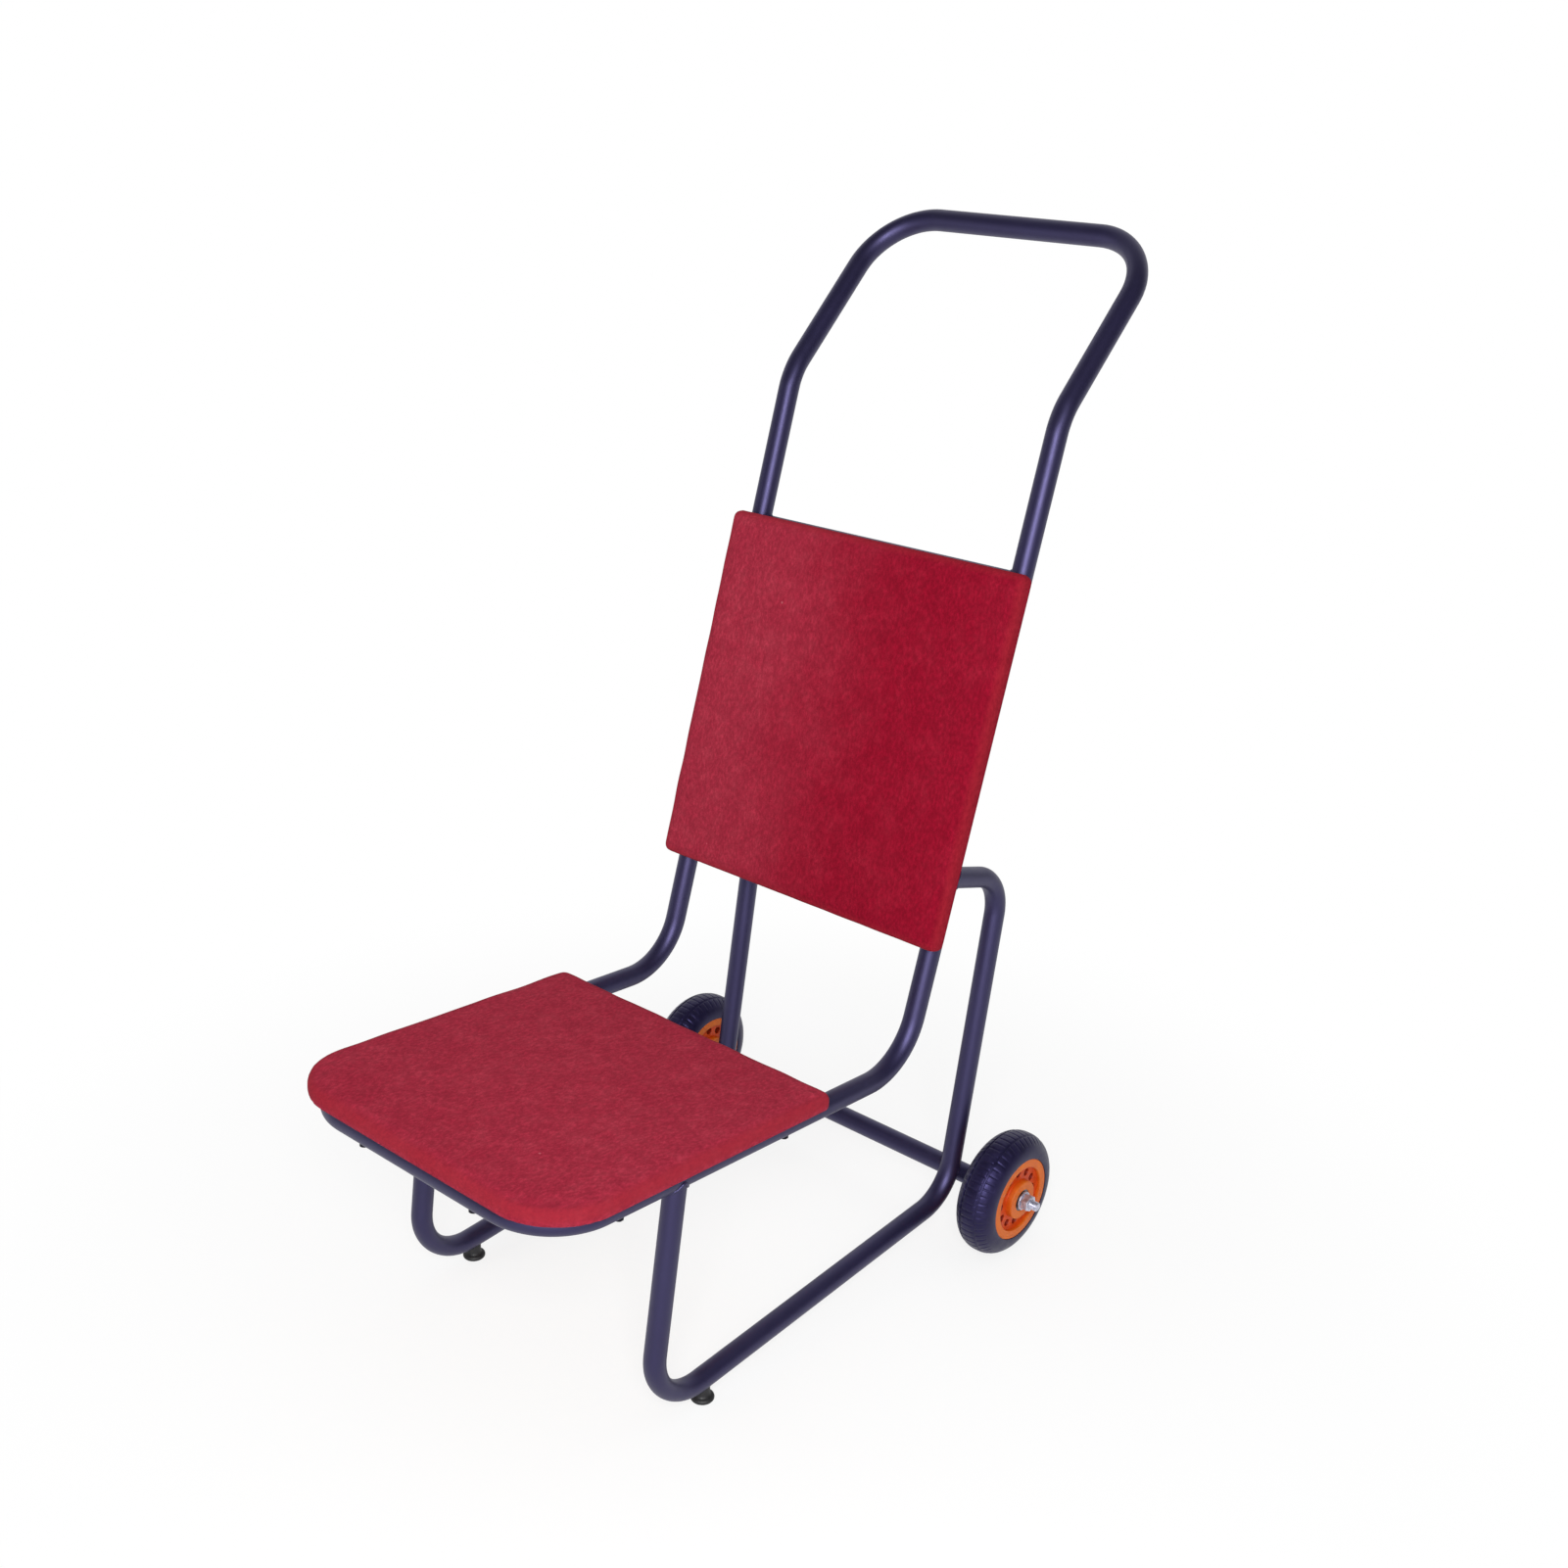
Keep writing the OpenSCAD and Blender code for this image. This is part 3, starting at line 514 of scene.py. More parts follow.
def addBead(bm, loopPoints, radius):
    pts = [Vector(p) for p in loopPoints]
    dense = []
    per = max(1, round(weld["spots"] / len(pts)))
    for i, p in enumerate(pts):
        q = pts[(i + 1) % len(pts)]
        dense += [p.lerp(q, k / per) for k in range(per)]
    centre = sum(dense, Vector()) / len(dense)
    length, rings = 0.0, []
    for i, p in enumerate(dense):
        along = (dense[(i + 1) % len(dense)] - dense[i - 1]).normalized()
        out = p - centre
        out = (out - along * out.dot(along)).normalized()
        up = along.cross(out)
        length += (dense[(i + 1) % len(dense)] - p).length
        r = radius * (1 + weld["ripple"] * (abs(math.sin(math.pi * length / weld["ripplePitch"])) - weld["rippleMean"]))
        rings.append([bm.verts.new((p + (out * math.cos(t) + up * math.sin(t)) * r) * mm)
                      for t in turns(weld["sides"])])
    skin(bm, rings, closed=True)


bm = bmesh.new()
for seam in seams:
    addBead(bm, seam, weld["radius"])
heelMate = {"run": (heel - toe).normalized(), "post": (loopBack - heel).normalized()}
halfTurn = heelMate["post"].angle(-heelMate["run"]) / 2
heelMid = heel + (heelMate["post"] - heelMate["run"]).normalized() * bends["heel"] / math.sin(halfTurn)
toPost = (heelMid - axle).normalized()  # from the axle bar to the loop's tube
upAlong = Vector((0, -toPost.z, toPost.y))
for side in (-1, 1):
    touch = Vector((side * trolley["halfWidth"], axle.y, axle.z)) + toPost * tubeR
    ring = []
    for a in turns(weld["saddleSpots"]):
        flat = Vector((math.cos(a) * weld["saddle"], 0, 0)) + upAlong * math.sin(a) * weld["saddle"]
        ring.append(touch + flat + toPost * weld["saddleDip"] * (math.sin(a) ** 2 - math.cos(a) ** 2))
    addBead(bm, ring, weld["radius"] * weld["saddleGrow"])
settle(putMesh("weldBeads", bm, paint), "frame", "frame_paint")
print("weld beads made")

panel = {
    "rear": 12.6, "face": 30.1, "roll": 7.0, "rollSteps": 6, "fold": 3.0, "rearRoll": 2.0, "turnIn": 45.0,
    "turnInProud": 0.8, "voxel": 3.5, "cap": 2.2, "startSmaller": 1.2, "thick": 1.4, "leastCorner": 0.6,
    # inset and share of the fold that hangs under the board's edge, inset and rise of the face
    "foldShape": [(11.0, 0.0), (8.0, 0.4), (5.0, 0.9), (3.0, 1.0), (1.2, 0.75), (0.2, 0.2)],
    "faceShape": [(40.0, 0.5), (90.0, 0.9), (150.0, 1.1)],
    "waves": 14, "waveTurn": 0.13, "waveHeight": (0.05, 0.16), "waveEdge": 25.0, "waveInside": 0.25,
    # the next two set the band of edge wear and painted light along the outline
    "rubAndLightFrom": 2.0, "rubAndLightWidth": 9.0, "sideFade": 6.0, "tubeGap": 0.06,
}
feltCloth = {
    "quality": 5, "mass": 0.4, "vertex_group_mass": "held", "tension_stiffness": 25, "compression_stiffness": 25,
    "shear_stiffness": 12, "bending_stiffness": 1.5, "use_pressure": True, "uniform_pressure_force": 4.0,
}
clothFrames = 20
# fade: axis, start, end and least share of the painted sheen gradient that greys one side of the panel
backPanel = {"name": "backPad", "node": "back_cover", "seed": 4, "width": 431.0, "from": 147.5, "to": 581.0,
             "fromR": 9.0, "toR": 9.0, "fade": (0, 70.0, -200.0, 0.0)}
seatPanel = {"name": "seatPad", "node": "seat_cover", "seed": 9, "width": 431.0, "from": 157.0, "to": 570.0,
             "fromR": 9.0, "toR": 80.0, "fade": (1, 560.0, 170.0, 0.65)}


def planOutline(spec, inset, steps=14):
    half, out = spec["width"] / 2, []
    spots = [(half, spec["from"], spec["fromR"], -90), (half, spec["to"], spec["toR"], 0),
             (-half, spec["to"], spec["toR"], 90), (-half, spec["from"], spec["fromR"], 180)]
    for x, y, r, a0 in spots:
        cx = x - math.copysign(r, x)
        cy = y + r if y == spec["from"] else y - r
        small = max(r - inset, panel["leastCorner"])
        past = max(inset - r + panel["leastCorner"], 0.0)
        cx -= math.copysign(past, x)
        cy += past * (1 if y == spec["from"] else -1)
        for k in range(steps + 1):
            a = math.radians(a0 + 90 * k / steps)
            out.append((cx + small * math.cos(a), cy + small * math.sin(a)))
    return out


def edgeDistance(spec, x, y):
    # distance inside the panel's plan outline
    half = spec["width"] / 2
    ends = np.where(y > (spec["from"] + spec["to"]) / 2, spec["to"] - y, y - spec["from"])
    r = np.where(y > (spec["from"] + spec["to"]) / 2, spec["toR"], spec["fromR"])
    sides = half - np.abs(x)
    inCorner = (ends < r) & (sides < r)
    return np.where(inCorner, r - np.hypot(r - ends, r - sides), np.minimum(ends, sides))


def tubeRise(lines, x, y):
    # height of the tubes that press on the turned-in felt
    best = np.full(x.shape, -1e3)
    for (ax, ay), (bx, by) in lines:
        dx, dy = bx - ax, by - ay
        t = np.clip(((x - ax) * dx + (y - ay) * dy) / (dx * dx + dy * dy), 0, 1)
        d = np.hypot(x - ax - t * dx, y - ay - t * dy)
        best = np.maximum(best, np.sqrt(np.maximum(tubeR ** 2 - d ** 2, 0)))
    return best


def makePad(spec, matrix, lines):
    rear = panel["rear"] - panel["turnInProud"]
    face = panel["face"] - panel["startSmaller"]
    levels = [(inset, rear - panel["fold"] * share) for inset, share in panel["foldShape"]]
    levels += [(0.0, rear + panel["rearRoll"]), (0.0, face - panel["roll"])]
    for k in range(1, panel["rollSteps"] + 1):
        a = math.pi / 2 * k / panel["rollSteps"]
        levels.append((panel["roll"] * (1 - math.cos(a)), face - panel["roll"] * (1 - math.sin(a))))
    levels += [(inset, face + up) for inset, up in panel["faceShape"]]
    bm = bmesh.new()
    skin(bm, [[bm.verts.new((x * mm, y * mm, z * mm)) for x, y in planOutline(spec, inset)] for inset, z in levels])
    pad = putMesh(spec["name"], bm, felt, matrix)
    remesh = pad.modifiers.new("even", "REMESH")
    remesh.mode, remesh.voxel_size = "VOXEL", panel["voxel"] * mm
    depsgraph = bpy.context.evaluated_depsgraph_get()
    pad.data = bpy.data.meshes.new_from_object(pad.evaluated_get(depsgraph))
    pad.modifiers.clear()

    rest = np.array([v.co for v in pad.data.vertices], float) / mm
    rng = np.random.default_rng(spec["seed"])
    waves = np.zeros(len(rest))
    turn = panel["waveTurn"]
    for k in range(panel["waves"]):  # uneven pull of the felt along the rolled edges
        fx, fy, phase = rng.uniform(-turn, turn), rng.uniform(-turn, turn), rng.uniform(0, 6.28)
        waves += np.sin(rest[:, 0] * fx + rest[:, 1] * fy + phase) * rng.uniform(*panel["waveHeight"])
    inside = edgeDistance(spec, rest[:, 0], rest[:, 1])
    nearEdge = np.clip(1 - inside / panel["waveEdge"], 0, 1)
    nearEdge = nearEdge * np.clip((rest[:, 2] - rear - 2) / panel["sideFade"], 0, 1)
    rest[:, 2] += waves * (panel["waveInside"] + (1 - panel["waveInside"]) * nearEdge) * (rest[:, 2] > rear + 4)
    pad.data.vertices.foreach_set("co", (rest * mm).ravel())
    pad.data.update()
    outward = np.array([v.normal for v in pad.data.vertices], float)
    held = pad.vertex_groups.new(name="held")
    held.add([int(i) for i in np.nonzero(rest[:, 2] < rear + 1.5)[0]], 1.0, "REPLACE")
    cloth = pad.modifiers.new("felt", "CLOTH")
    for key, value in feltCloth.items():
        setattr(cloth.settings, key, value)
    cloth.settings.effector_weights.gravity = 0.0
    scene = bpy.context.scene
    cloth.point_cache.frame_start, cloth.point_cache.frame_end = 1, clothFrames
    for f in range(1, clothFrames + 1):
        scene.frame_set(f)
    moved = pad.evaluated_get(bpy.context.evaluated_depsgraph_get()).data
    swollen = np.array([v.co for v in moved.vertices], float) / mm
    pad.modifiers.clear()
    pad.vertex_groups.clear()
    scene.frame_set(1)
    swell = ((swollen - rest) * outward).sum(1)
    print(spec["name"], "cloth swelled up to %.2f mm, mean %.2f" % (swell.max(), swell.mean()))
    rest = rest + outward * np.clip(swell, 0, panel["cap"])[:, None]  # stretched over a board, it can't sink
    pad.data.vertices.foreach_set("co", (rest * mm).ravel())
    pad.data.update()

    bm = bmesh.new()
    bm.from_mesh(pad.data)
    hidden = [f for f in bm.faces if f.calc_center_median().z / mm < rear + 1.6
             and edgeDistance(spec, *(np.array([c / mm]) for c in f.calc_center_median().xy))[0] > panel["turnIn"]]
    bmesh.ops.delete(bm, geom=hidden, context="FACES")
    bm.to_mesh(pad.data)
    bm.free()
    pad.modifiers.new("fine", "SUBSURF").levels = 1
    thick = pad.modifiers.new("thick", "SOLIDIFY")
    thick.thickness, thick.offset = panel["thick"] * mm, -1.0
    depsgraph = bpy.context.evaluated_depsgraph_get()
    pad.data = bpy.data.meshes.new_from_object(pad.evaluated_get(depsgraph))
    pad.modifiers.clear()

    co = np.array([v.co for v in pad.data.vertices], float) / mm
    inside = edgeDistance(spec, co[:, 0], co[:, 1])
    pressed = tubeRise(lines, co[:, 0], co[:, 1])
    underside = co[:, 2] < panel["rear"] + 0.6
    co[:, 2] = np.where(underside, np.maximum(co[:, 2], pressed + panel["tubeGap"]), co[:, 2])
    pad.data.vertices.foreach_set("co", (co * mm).ravel())
    pad.data.shade_smooth()
    # rolled edges: partly rubbed wear, partly painted light, strongest near the outline
    rub = np.clip(1 - np.maximum(inside - panel["rubAndLightFrom"], 0) / panel["rubAndLightWidth"], 0, 1)
    rub = rub * np.clip((co[:, 2] - panel["rear"]) / panel["sideFade"], 0, 1)
    # the painted sheen: a gradient that greys and lightens one side of the panel
    axis, fadeFrom, fadeTo, least = spec["fade"]
    fade = least + (1 - least) * np.clip((co[:, axis] - fadeFrom) / (fadeTo - fadeFrom), 0, 1)
    writeLayer(pad, "edgeRubAndLight", rub)
    writeLayer(pad, "paintedSheenFade", fade)
    wear(pad, felt)
    settle(pad, "frame", "red_felt", spec["node"])


def frameMatrix(x, y, z, origin):
    return Matrix(((x.x, y.x, z.x, origin.x * mm), (x.y, y.y, z.y, origin.y * mm),
                   (x.z, y.z, z.z, origin.z * mm), (0, 0, 0, 1)))


halfW = trolley["halfWidth"]
backMatrix = frameMatrix(Vector((1, 0, 0)), backDir, backFace, corner)
seatMatrix = frameMatrix(Vector((-1, 0, 0)), seatDir, seatFace, corner)
backLines = [((-halfW, 0), (-halfW, 700)), ((halfW, 0), (halfW, 700)),
             ((-halfW, trolley["railAt"]), (halfW, trolley["railAt"]))]
frontArc, arcSteps = [], 10
for k in range(arcSteps + 1):
    a = math.pi / 2 * k / arcSteps
    frontArc.append((halfW - bends["front"] * (1 - math.cos(a)),
                     trolley["seatLength"] - bends["front"] * (1 - math.sin(a))))
seatPath = [(halfW, 0)] + frontArc + [(-x, y) for x, y in frontArc[::-1]] + [(-halfW, 0)]
seatLines = list(zip(seatPath, seatPath[1:]))
makePad(backPanel, backMatrix, backLines)
makePad(seatPanel, seatMatrix, seatLines)
print("felt panels made")

# staples that hold the turned-in felt
staple = {"crown": 10.0, "wire": 1.1, "spacing": 31.0, "fromCut": 9.0, "lift": 0.25, "leg": 1.8, "bend": 0.7,
          "flat": 0.6, "sides": 8, "skew": 0.12, "cornerSteps": 10}


def makeStaples(name, spec, matrix, lines):
    rng = np.random.default_rng(spec["seed"] + 20)
    ring = planOutline(spec, panel["turnIn"] - staple["fromCut"], staple["cornerSteps"])
    bm = bmesh.new()
    carried = staple["spacing"] / 2
    for i, p in enumerate(ring):
        q = ring[(i + 1) % len(ring)]
        run = math.hypot(q[0] - p[0], q[1] - p[1])
        while carried <= run and run > 0:
            t = carried / run
            carried += staple["spacing"]
            x, y = p[0] + (q[0] - p[0]) * t, p[1] + (q[1] - p[1]) * t
            if tubeRise(lines, np.array([x]), np.array([y]))[0] > 0.0:
                continue
            turn = math.atan2(q[1] - p[1], q[0] - p[0]) + rng.uniform(-staple["skew"], staple["skew"])
            along = Vector((math.cos(turn), math.sin(turn), 0))
            base = Vector((x, y, panel["rear"] - panel["turnInProud"] - staple["lift"]))
            half, w = staple["crown"] / 2, staple["wire"] / 2
            leg, bend = Vector((0, 0, staple["leg"])), Vector((0, 0, staple["bend"]))
            inner = along * (half - staple["bend"])
            path = [base - along * half + leg, base - along * half + bend, base - inner,
                    base + inner, base + along * half + bend, base + along * half + leg]
            across = Vector((-along.y, along.x, 0))
            rings = []
            for k, c in enumerate(path):
                d = (path[min(k + 1, 5)] - path[max(k - 1, 0)]).normalized()
                up = d.cross(across)
                rings.append([bm.verts.new((c + (across * math.cos(a) + up * staple["flat"] * math.sin(a)) * w) * mm)
                              for a in turns(staple["sides"])])
            skin(bm, rings)
        carried -= run
    settle(putMesh(name, bm, zinc, matrix), "frame", "zinc_steel")


makeStaples("backStaples", backPanel, backMatrix, backLines)
makeStaples("seatStaples", seatPanel, seatMatrix, seatLines)
print("staples made")


def easedProfile(points, steps=4):
    # closed outline in the plane of radius and width, with rounded corners
    out = []
    n = len(points)
    for i, (r, a, ease) in enumerate(points):
        p = Vector((r, a))
        before, after = Vector(points[i - 1][:2]), Vector(points[(i + 1) % n][:2])
        if ease <= 0:
            out.append((r, a))
            continue
        u, v = (before - p), (after - p)
        cut = min(ease, u.length * 0.49, v.length * 0.49)
        s, e = p + u.normalized() * cut, p + v.normalized() * cut
        for k in range(steps + 1):
            t = k / steps
            q = s.lerp(p, t).lerp(p.lerp(e, t), t)
            out.append((q.x, q.y))
    return out


def lathe(bm, profile, centre, outward, around, dent=None):
    # turns a closed outline round an axle along X
    rings = []
    for t in turns(around):
        ring = []
        for r, a in profile:
            d = dent(r, a, t) if dent else 0.0
            ring.append(bm.verts.new(((centre[0] + outward * a) * mm, (centre[1] + (r - d) * math.cos(t)) * mm,
                                      (centre[2] + (r - d) * math.sin(t)) * mm)))
        rings.append(ring)
    skin(bm, rings, closed=True)


tyre = {"radius": 80.0, "half": 26.0, "shoulder": 24.0, "bed": 48.6, "bedHalf": 21.4, "lip": 53.6, "treadFrom": 69.0,
        "treadFade": 4.0, "blocks": 52, "perBlock": 10, "crossDepth": 0.7, "crossShare": 0.15, "ringGroove": 10.4,
        "ringDepth": 1.3, "ringWidth": 2.0, "shoulderSteps": 60}


def tyreProfile():
    flat = tyre["half"] - tyre["shoulder"]
    mid = tyre["radius"] - tyre["shoulder"]
    low = math.asin((tyre["lip"] - mid) / tyre["shoulder"])
    half = []
    for k in range(tyre["shoulderSteps"] + 1):
        a = low + (math.pi / 2 - low) * k / tyre["shoulderSteps"]
        half.append((mid + tyre["shoulder"] * math.sin(a), flat + tyre["shoulder"] * math.cos(a)))
    crown = [(tyre["radius"], flat * (1 - k / 3)) for k in range(1, 6)]
    return ([(tyre["bed"], tyre["bedHalf"]), (tyre["lip"], tyre["bedHalf"])] + half + crown
            + [(r, -a) for r, a in half[::-1]] + [(tyre["lip"], -tyre["bedHalf"]), (tyre["bed"], -tyre["bedHalf"])])


def treadDent(r, a, t):
    if r < tyre["treadFrom"]:
        return 0.0
    wide = abs(a)
    fade = min(1.0, (r - tyre["treadFrom"]) / tyre["treadFade"])
    groove = max(0.0, min(1.0, (tyre["ringWidth"] / 2 + 0.4 - abs(wide - tyre["ringGroove"])) / 0.5))
    row = 0.5 if wide > tyre["ringGroove"] else 0.0
    phase = (t / (2 * math.pi) * tyre["blocks"] + row + 1e-6) % 1.0
    cross = 1.0 if phase < tyre["crossShare"] else 0.0
    return fade * max(groove * tyre["ringDepth"], cross * tyre["crossDepth"])


rim = {"radius": 53.5, "half": 25.5, "bed": 48.5, "bedHalf": 21.5, "lip": 42.5, "disc": 19.5, "hub": 25.0,
       "hubHalf": 28.5, "seat": 14.1, "seatDepth": 19.4, "bore": 11.0, "holes": 12, "holeRadius": 4.5,
       "holeRing": 33.75, "chamfer": 1.2, "chamferMid": 0.35, "cutPast": 0.4, "holeSides": 28, "ease": 1.3,
       "sharpEase": 0.5, "around": 120, "smoothAngle": 35.0}


def makeRim(name, centre, outward):
    e, s = rim["ease"], rim["sharpEase"]
    side = [(rim["bore"], rim["seatDepth"], 0), (rim["seat"], rim["seatDepth"], 0), (rim["seat"], rim["hubHalf"], s),
            (rim["hub"], rim["hubHalf"], e), (rim["hub"], rim["disc"], e), (rim["lip"], rim["disc"], e),
            (rim["lip"], rim["half"], e), (rim["radius"], rim["half"], e), (rim["radius"], rim["bedHalf"], s),
            (rim["bed"], rim["bedHalf"], 0)]
    profile = easedProfile(side + [(r, -a, w) for r, a, w in side[::-1]])
    bm = bmesh.new()
    lathe(bm, profile, centre, outward, rim["around"])
    obj = putMesh(name, bm, orange)
    cut = bmesh.new()
    r, d, wide, mid, past = (rim[k] for k in ("holeRadius", "disc", "chamfer", "chamferMid", "cutPast"))
    hole = [(r + wide, -d - past), (r + mid, -d + mid), (r, -d + wide),
            (r, d - wide), (r + mid, d - mid), (r + wide, d + past)]
    for t in turns(rim["holes"]):
        cy, cz = centre[1] + rim["holeRing"] * math.cos(t), centre[2] + rim["holeRing"] * math.sin(t)
        skin(cut, [[cut.verts.new(((centre[0] + a) * mm, (cy + rr * math.cos(u)) * mm, (cz + rr * math.sin(u)) * mm))
                    for u in turns(rim["holeSides"])] for rr, a in hole])
    cutter = putMesh(name + "Cutter", cut, orange)
    drill = obj.modifiers.new("holes", "BOOLEAN")
    drill.object, drill.operation, drill.solver = cutter, "DIFFERENCE", "EXACT"
    depsgraph = bpy.context.evaluated_depsgraph_get()
    obj.data = bpy.data.meshes.new_from_object(obj.evaluated_get(depsgraph))
    obj.modifiers.clear()
    bpy.data.objects.remove(cutter)
    obj.data.shade_smooth()
    obj.data.set_sharp_from_angle(angle=math.radians(rim["smoothAngle"]))
    out = np.abs(np.array([v.co.x for v in obj.data.vertices]) / mm - centre[0])
    # how proud a face stands: where the painted light on the lip and hub goes
    proud = np.clip((out - rim["disc"] - 1.0) / (rim["half"] - rim["disc"] - 2.5), 0, 1)
    flat = np.array([v.co.yz for v in obj.data.vertices]) / mm - np.array(centre[1:])
    spots = rim["holeRing"] * np.array([(math.cos(t), math.sin(t)) for t in turns(rim["holes"])])
    near = np.linalg.norm(flat[:, None] - spots[None], axis=2).min(1)
    # where the painted shade in the holes goes
    inHole = np.clip((rim["holeRadius"] + 0.6 - near) / 0.5, 0, 1)
    writeLayer(obj, "proud", proud)
    writeLayer(obj, "inHole", inHole)
    wear(obj, orange)
    return obj


for outward, label in ((-1, "left"), (1, "right")):
    centre = (outward * wheelMid.x, axle.y, axle.z)
    bm = bmesh.new()
    lathe(bm, tyreProfile(), centre, outward, tyre["blocks"] * tyre["perBlock"], treadDent)
    settle(putMesh(label + "Tyre", bm, tyreRubber, smoothAngle=38.0), label + "_wheel", "tyre_rubber", label + "_tyre")
    settle(makeRim(label + "Rim", centre, outward), label + "_wheel", "orange_plastic", label + "_rim")
print("wheels made")

rod = {"radius": 6.0, "pitch": 1.75, "perPitch": 7, "depth": 0.95, "threaded": 26.0, "plainFrom": 1.0, "runOut": 2.0,
       "ease": 1.2, "sides": 48}


def makeRod():
    bm = bmesh.new()
    half, fine = rodHalf, rod["pitch"] / rod["perPitch"]
    steps = int(rod["threaded"] / fine)
    spots = [-half + fine * k for k in range(steps + 1)]
    spots += [-half + rod["threaded"] + rod["plainFrom"], half - rod["threaded"] - rod["plainFrom"]]
    spots += [half - fine * k for k in range(steps, -1, -1)]
    rings = []
    for x in spots:
        inEnd = half - abs(x)
        ring = []
        for t in turns(rod["sides"]):
            r = rod["radius"]
            if inEnd <= rod["threaded"]:
                wave = abs(((x / rod["pitch"] - t / (2 * math.pi)) % 1.0) * 2 - 1)
                runOut = min(1.0, (rod["threaded"] - inEnd) / rod["runOut"])
                r -= rod["depth"] * (1 - wave) * runOut
            r = min(r, rod["radius"] - rod["ease"] + inEnd)
            ring.append(bm.verts.new((x * mm, (axle.y + r * math.cos(t)) * mm, (axle.z + r * math.sin(t)) * mm)))
        rings.append(ring)
    skin(bm, rings)
    return putMesh("axleRod", bm, zinc, smoothAngle=30.0)


settle(makeRod(), "frame", "zinc_steel", "axle_rod")

# radius and height; the last ring reaches up to the tube
foot = {"sides": 48, "gap": 0.1,
        "outline": [(0.0, 0.0), (10.5, 0.0), (12.4, 0.5), (13.3, 1.7), (13.5, 3.2), (13.1, 4.8), (11.8, 5.8),
                    (10.2, 6.3), (9.1, 7.2), (8.6, 8.6), (8.5, 10.5), (8.5, None)]}
for side, label in ((-1, "left"), (1, "right")):
    bm = bmesh.new()
    y = cornerY - trolley["footAhead"]
    mate = (sidePoint(side, toe), (heel - toe).normalized(), tubeR + foot["gap"])
    sides, rings = foot["sides"], []
    for r, z in foot["outline"]:
        ring = []
        for t in turns(sides):
            p = Vector((side * halfW + r * math.cos(t), y + r * math.sin(t), z or 0.0))
            if z is None:
                p.z = reach(p, Vector((0, 0, 1)), mate)
            ring.append(p)
        if r == 0.0:
            rings.append([bm.verts.new(ring[0] * mm)] * sides)
        else:
            rings.append([bm.verts.new(p * mm) for p in ring])
    for low, high in zip(rings, rings[1:]):
        for j in range(sides):
            n = (j + 1) % sides
            quad = [low[j], low[n], high[n], high[j]] if low[0] is not low[1] else [low[0], high[n], high[j]]
            bm.faces.new(quad)
    cap = bm.verts.new(sum((v.co for v in rings[-1]), Vector()) / sides)
    for j in range(sides):
        bm.faces.new((rings[-1][j], rings[-1][(j + 1) % sides], cap))
    settle(putMesh(label + "Foot", bm, footRubber), "frame", "black_rubber", label + "_foot")
print("axle and feet made")

# CAD nodes that show as they are
finishes = {
    "frame_sleeves": zinc, "back_board": plywood, "seat_board": plywood, "back_screws": blackZinc,
    "rail_screws": blackZinc, "seat_screws": blackZinc, "axle_plugs": nylon, "inner_spacers": zinc,
    "outer_washers": zinc, "axle_nuts": zinc, "foot_studs": zinc, "left_bearings": bearingSteel,
    "right_bearings": bearingSteel,
}
# rounding of their edges
easedNodes = {"back_screws": 0.5, "rail_screws": 0.5, "seat_screws": 0.5, "outer_washers": 0.4, "axle_nuts": 0.45,
              "inner_spacers": 0.4}
for name, mat in finishes.items():
    wear(cad[name], mat)
    if name in easedNodes:
        cad[name].modifiers.new("joined", "WELD").merge_threshold = 0.01 * mm
        ease = cad[name].modifiers.new("eased", "BEVEL")
        ease.width, ease.segments = easedNodes[name] * mm, 2
        ease.limit_method, ease.angle_limit = "ANGLE", math.radians(35)
print("CAD nodes finished")


def seenMask(tree):
    # 1 where the camera, a mirror image or glass looks at the background
    path = addNode(tree, "LightPath")
    seen = path.outputs["Is Camera Ray"]
    for ray in ("Is Glossy Ray", "Is Transmission Ray"):
        either = addNode(tree, "Math", {"operation": "MAXIMUM"}, {0: seen, 1: path.outputs[ray]})
        seen = either.outputs["Value"]
    return path, seen


def makeFloor():
    # matt white studio floor that fades to plain white away from the object
    bm = bmesh.new()
    bmesh.ops.create_circle(bm, cap_ends=True, segments=96, radius=12.0)
    mat, tree = startMaterial("studioFloorWhite")
    coords = addNode(tree, "TexCoord")
    far = addNode(tree, "VectorMath", {"operation": "LENGTH"}, {0: coords.outputs["Object"]})
    fade = addNode(tree, "MapRange",
                   {"interpolation_type": "SMOOTHSTEP", "From Min": 0.45, "From Max": 1.1, "To Min": 0.8},
                   {"Value": far.outputs["Value"]})
    _, seen = seenMask(tree)
    mask = addNode(tree, "Math", {"operation": "MULTIPLY"}, {0: fade.outputs["Result"], 1: seen})
    matt = addNode(tree, "BsdfDiffuse", {"Color": hexLinear("#fdfdfd")})
    white = addNode(tree, "Emission", {"Color": (1, 1, 1, 1), "Strength": 1.0})
    mix = addNode(tree, "MixShader", None,
                  {0: mask.outputs["Value"], 1: matt.outputs["BSDF"], 2: white.outputs["Emission"]})
    addNode(tree, "OutputMaterial", None, {"Surface": mix.outputs["Shader"]})
    putMesh("studioFloor", bm, mat)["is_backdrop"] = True


makeFloor()

world = bpy.data.worlds.new("studioWorld")
bpy.context.scene.world = world
world.use_nodes = True
tree = world.node_tree
tree.nodes.clear()
path, seen = seenMask(tree)
coords = addNode(tree, "TexCoord")
axes = addNode(tree, "SeparateXYZ", None, {"Vector": coords.outputs["Generated"]})
# soft light that grows towards the ceiling
ceiling = addNode(tree, "MapRange", {"To Min": 0.23, "To Max": 0.76}, {"Value": axes.outputs["Z"]})
soft = addNode(tree, "Background", {"Color": (1, 1, 1, 1)}, {"Strength": ceiling.outputs["Result"]})
behind = addNode(tree, "VectorMath", {"operation": "DOT_PRODUCT", 1: (-0.633, 0.774, 0.0)},
                 {0: coords.outputs["Generated"]})
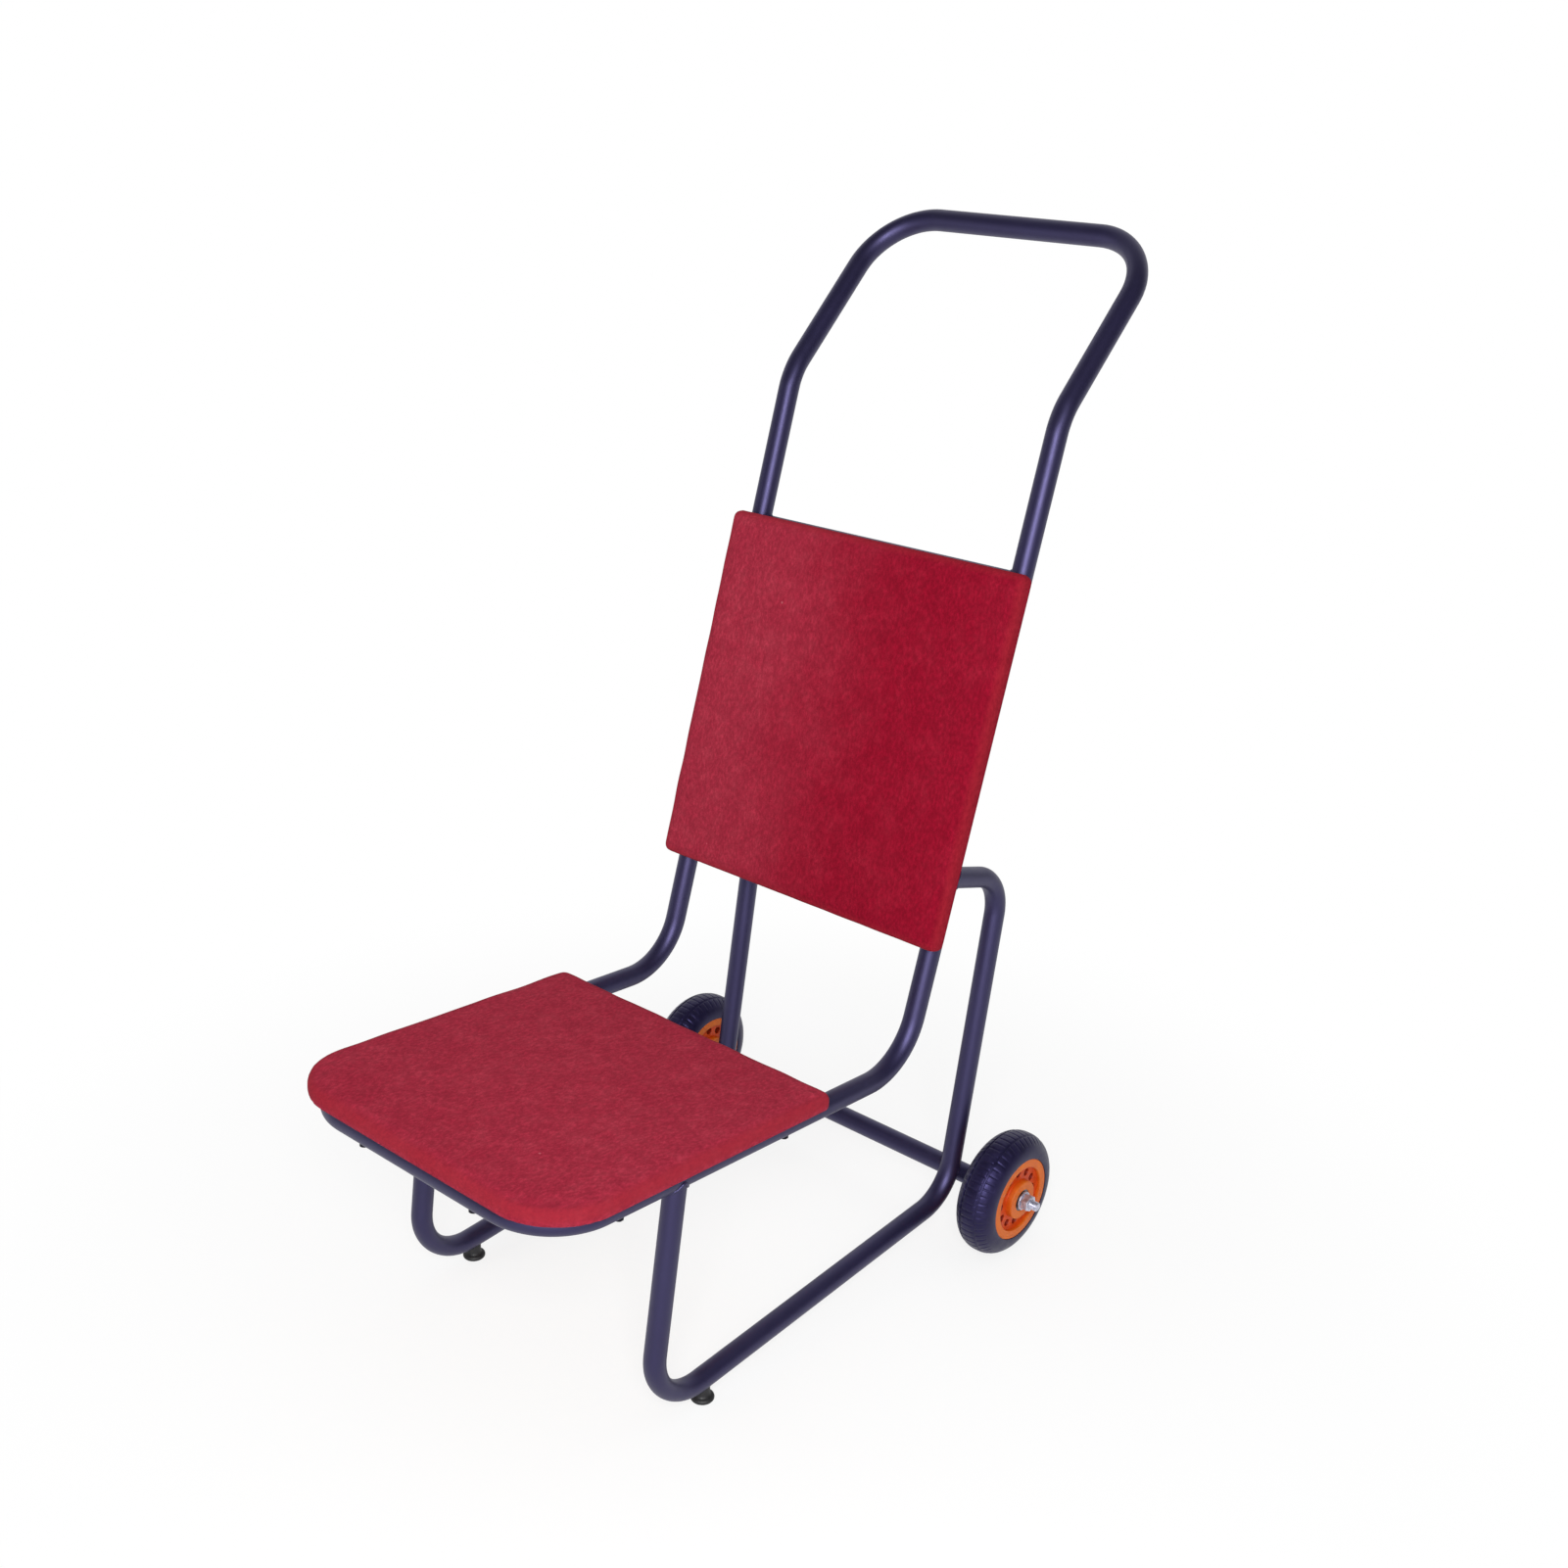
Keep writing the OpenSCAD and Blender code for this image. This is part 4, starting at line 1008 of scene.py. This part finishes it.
# white backdrop behind the object, a dim room in front of it
sweep = addNode(tree, "MapRange",
                {"interpolation_type": "SMOOTHSTEP", "From Min": 0.1, "From Max": 0.7, "To Min": 0.12},
                {"Value": behind.outputs["Value"]})
studio = addNode(tree, "Math", {"operation": "MAXIMUM"},
                 {0: sweep.outputs["Result"], 1: path.outputs["Is Camera Ray"]})
plain = addNode(tree, "Background", {"Color": (1, 1, 1, 1)}, {"Strength": studio.outputs["Value"]})
mix = addNode(tree, "MixShader", None,
              {0: seen, 1: soft.outputs["Background"], 2: plain.outputs["Background"]})
addNode(tree, "OutputWorld", None, {"Surface": mix.outputs["Shader"]})

lamps = {
    "keyLamp": {"at": (1.48, -1.64, 1.63), "size": (0.75, 0.75), "watts": 41.0},
    "fillLamp": {"at": (-2.2, -1.8, 1.3), "size": (1.2, 1.6), "watts": 6.0},
    # a broad sheen on the tubes
    "softBox": {"at": (1.62, -1.8, 1.1), "size": (2.0, 1.5), "watts": 50.0, "glossOnly": True},
}
aim = Vector((0.0, 0.0, 0.55))
for name, spec in lamps.items():
    data = bpy.data.lights.new(name, "AREA")
    data.shape, data.size, data.size_y, data.energy = "RECTANGLE", *spec["size"], spec["watts"]
    lamp = bpy.data.objects.new(name, data)
    bpy.context.scene.collection.objects.link(lamp)
    lamp.visible_diffuse = not spec.get("glossOnly", False)
    lamp.location = spec["at"]
    lamp.rotation_euler = (aim - lamp.location).to_track_quat("-Z", "Y").to_euler()

# camera fitted to the photograph's tube outlines; the picture is taken as 1601 pixels square
view = {"focal": 1844.55, "centre": (828.11, 927.18), "picture": 1601.0, "at": (1.27656, -1.41647, 1.32252),
        "azimuth": 0.6862, "height": 0.4253, "roll": 0.0462, "sensor": 36.0}
a, e, r = view["azimuth"], view["height"], view["roll"]
back = Vector((math.sin(a) * math.cos(e), -math.cos(a) * math.cos(e), math.sin(e)))
level = Vector((math.cos(a), math.sin(a), 0))
upright = back.cross(level)
right = level * math.cos(r) + upright * math.sin(r)
up = upright * math.cos(r) - level * math.sin(r)
camera = bpy.data.objects.new("camera", bpy.data.cameras.new("camera"))
bpy.context.scene.collection.objects.link(camera)
camera.matrix_world = Matrix(((right.x, up.x, back.x, view["at"][0]), (right.y, up.y, back.y, view["at"][1]),
                              (right.z, up.z, back.z, view["at"][2]), (0, 0, 0, 1)))
camera.data.sensor_width = view["sensor"]
camera.data.lens = view["sensor"] * view["focal"] / view["picture"]
camera.data.shift_x = (view["picture"] / 2 - view["centre"][0]) / view["picture"]
camera.data.shift_y = (view["centre"][1] - view["picture"] / 2) / view["picture"]
bpy.context.scene.camera = camera
bpy.context.scene.view_settings.view_transform = "Standard"
print("light and camera set")

bpy.context.view_layer.update()
low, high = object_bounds()
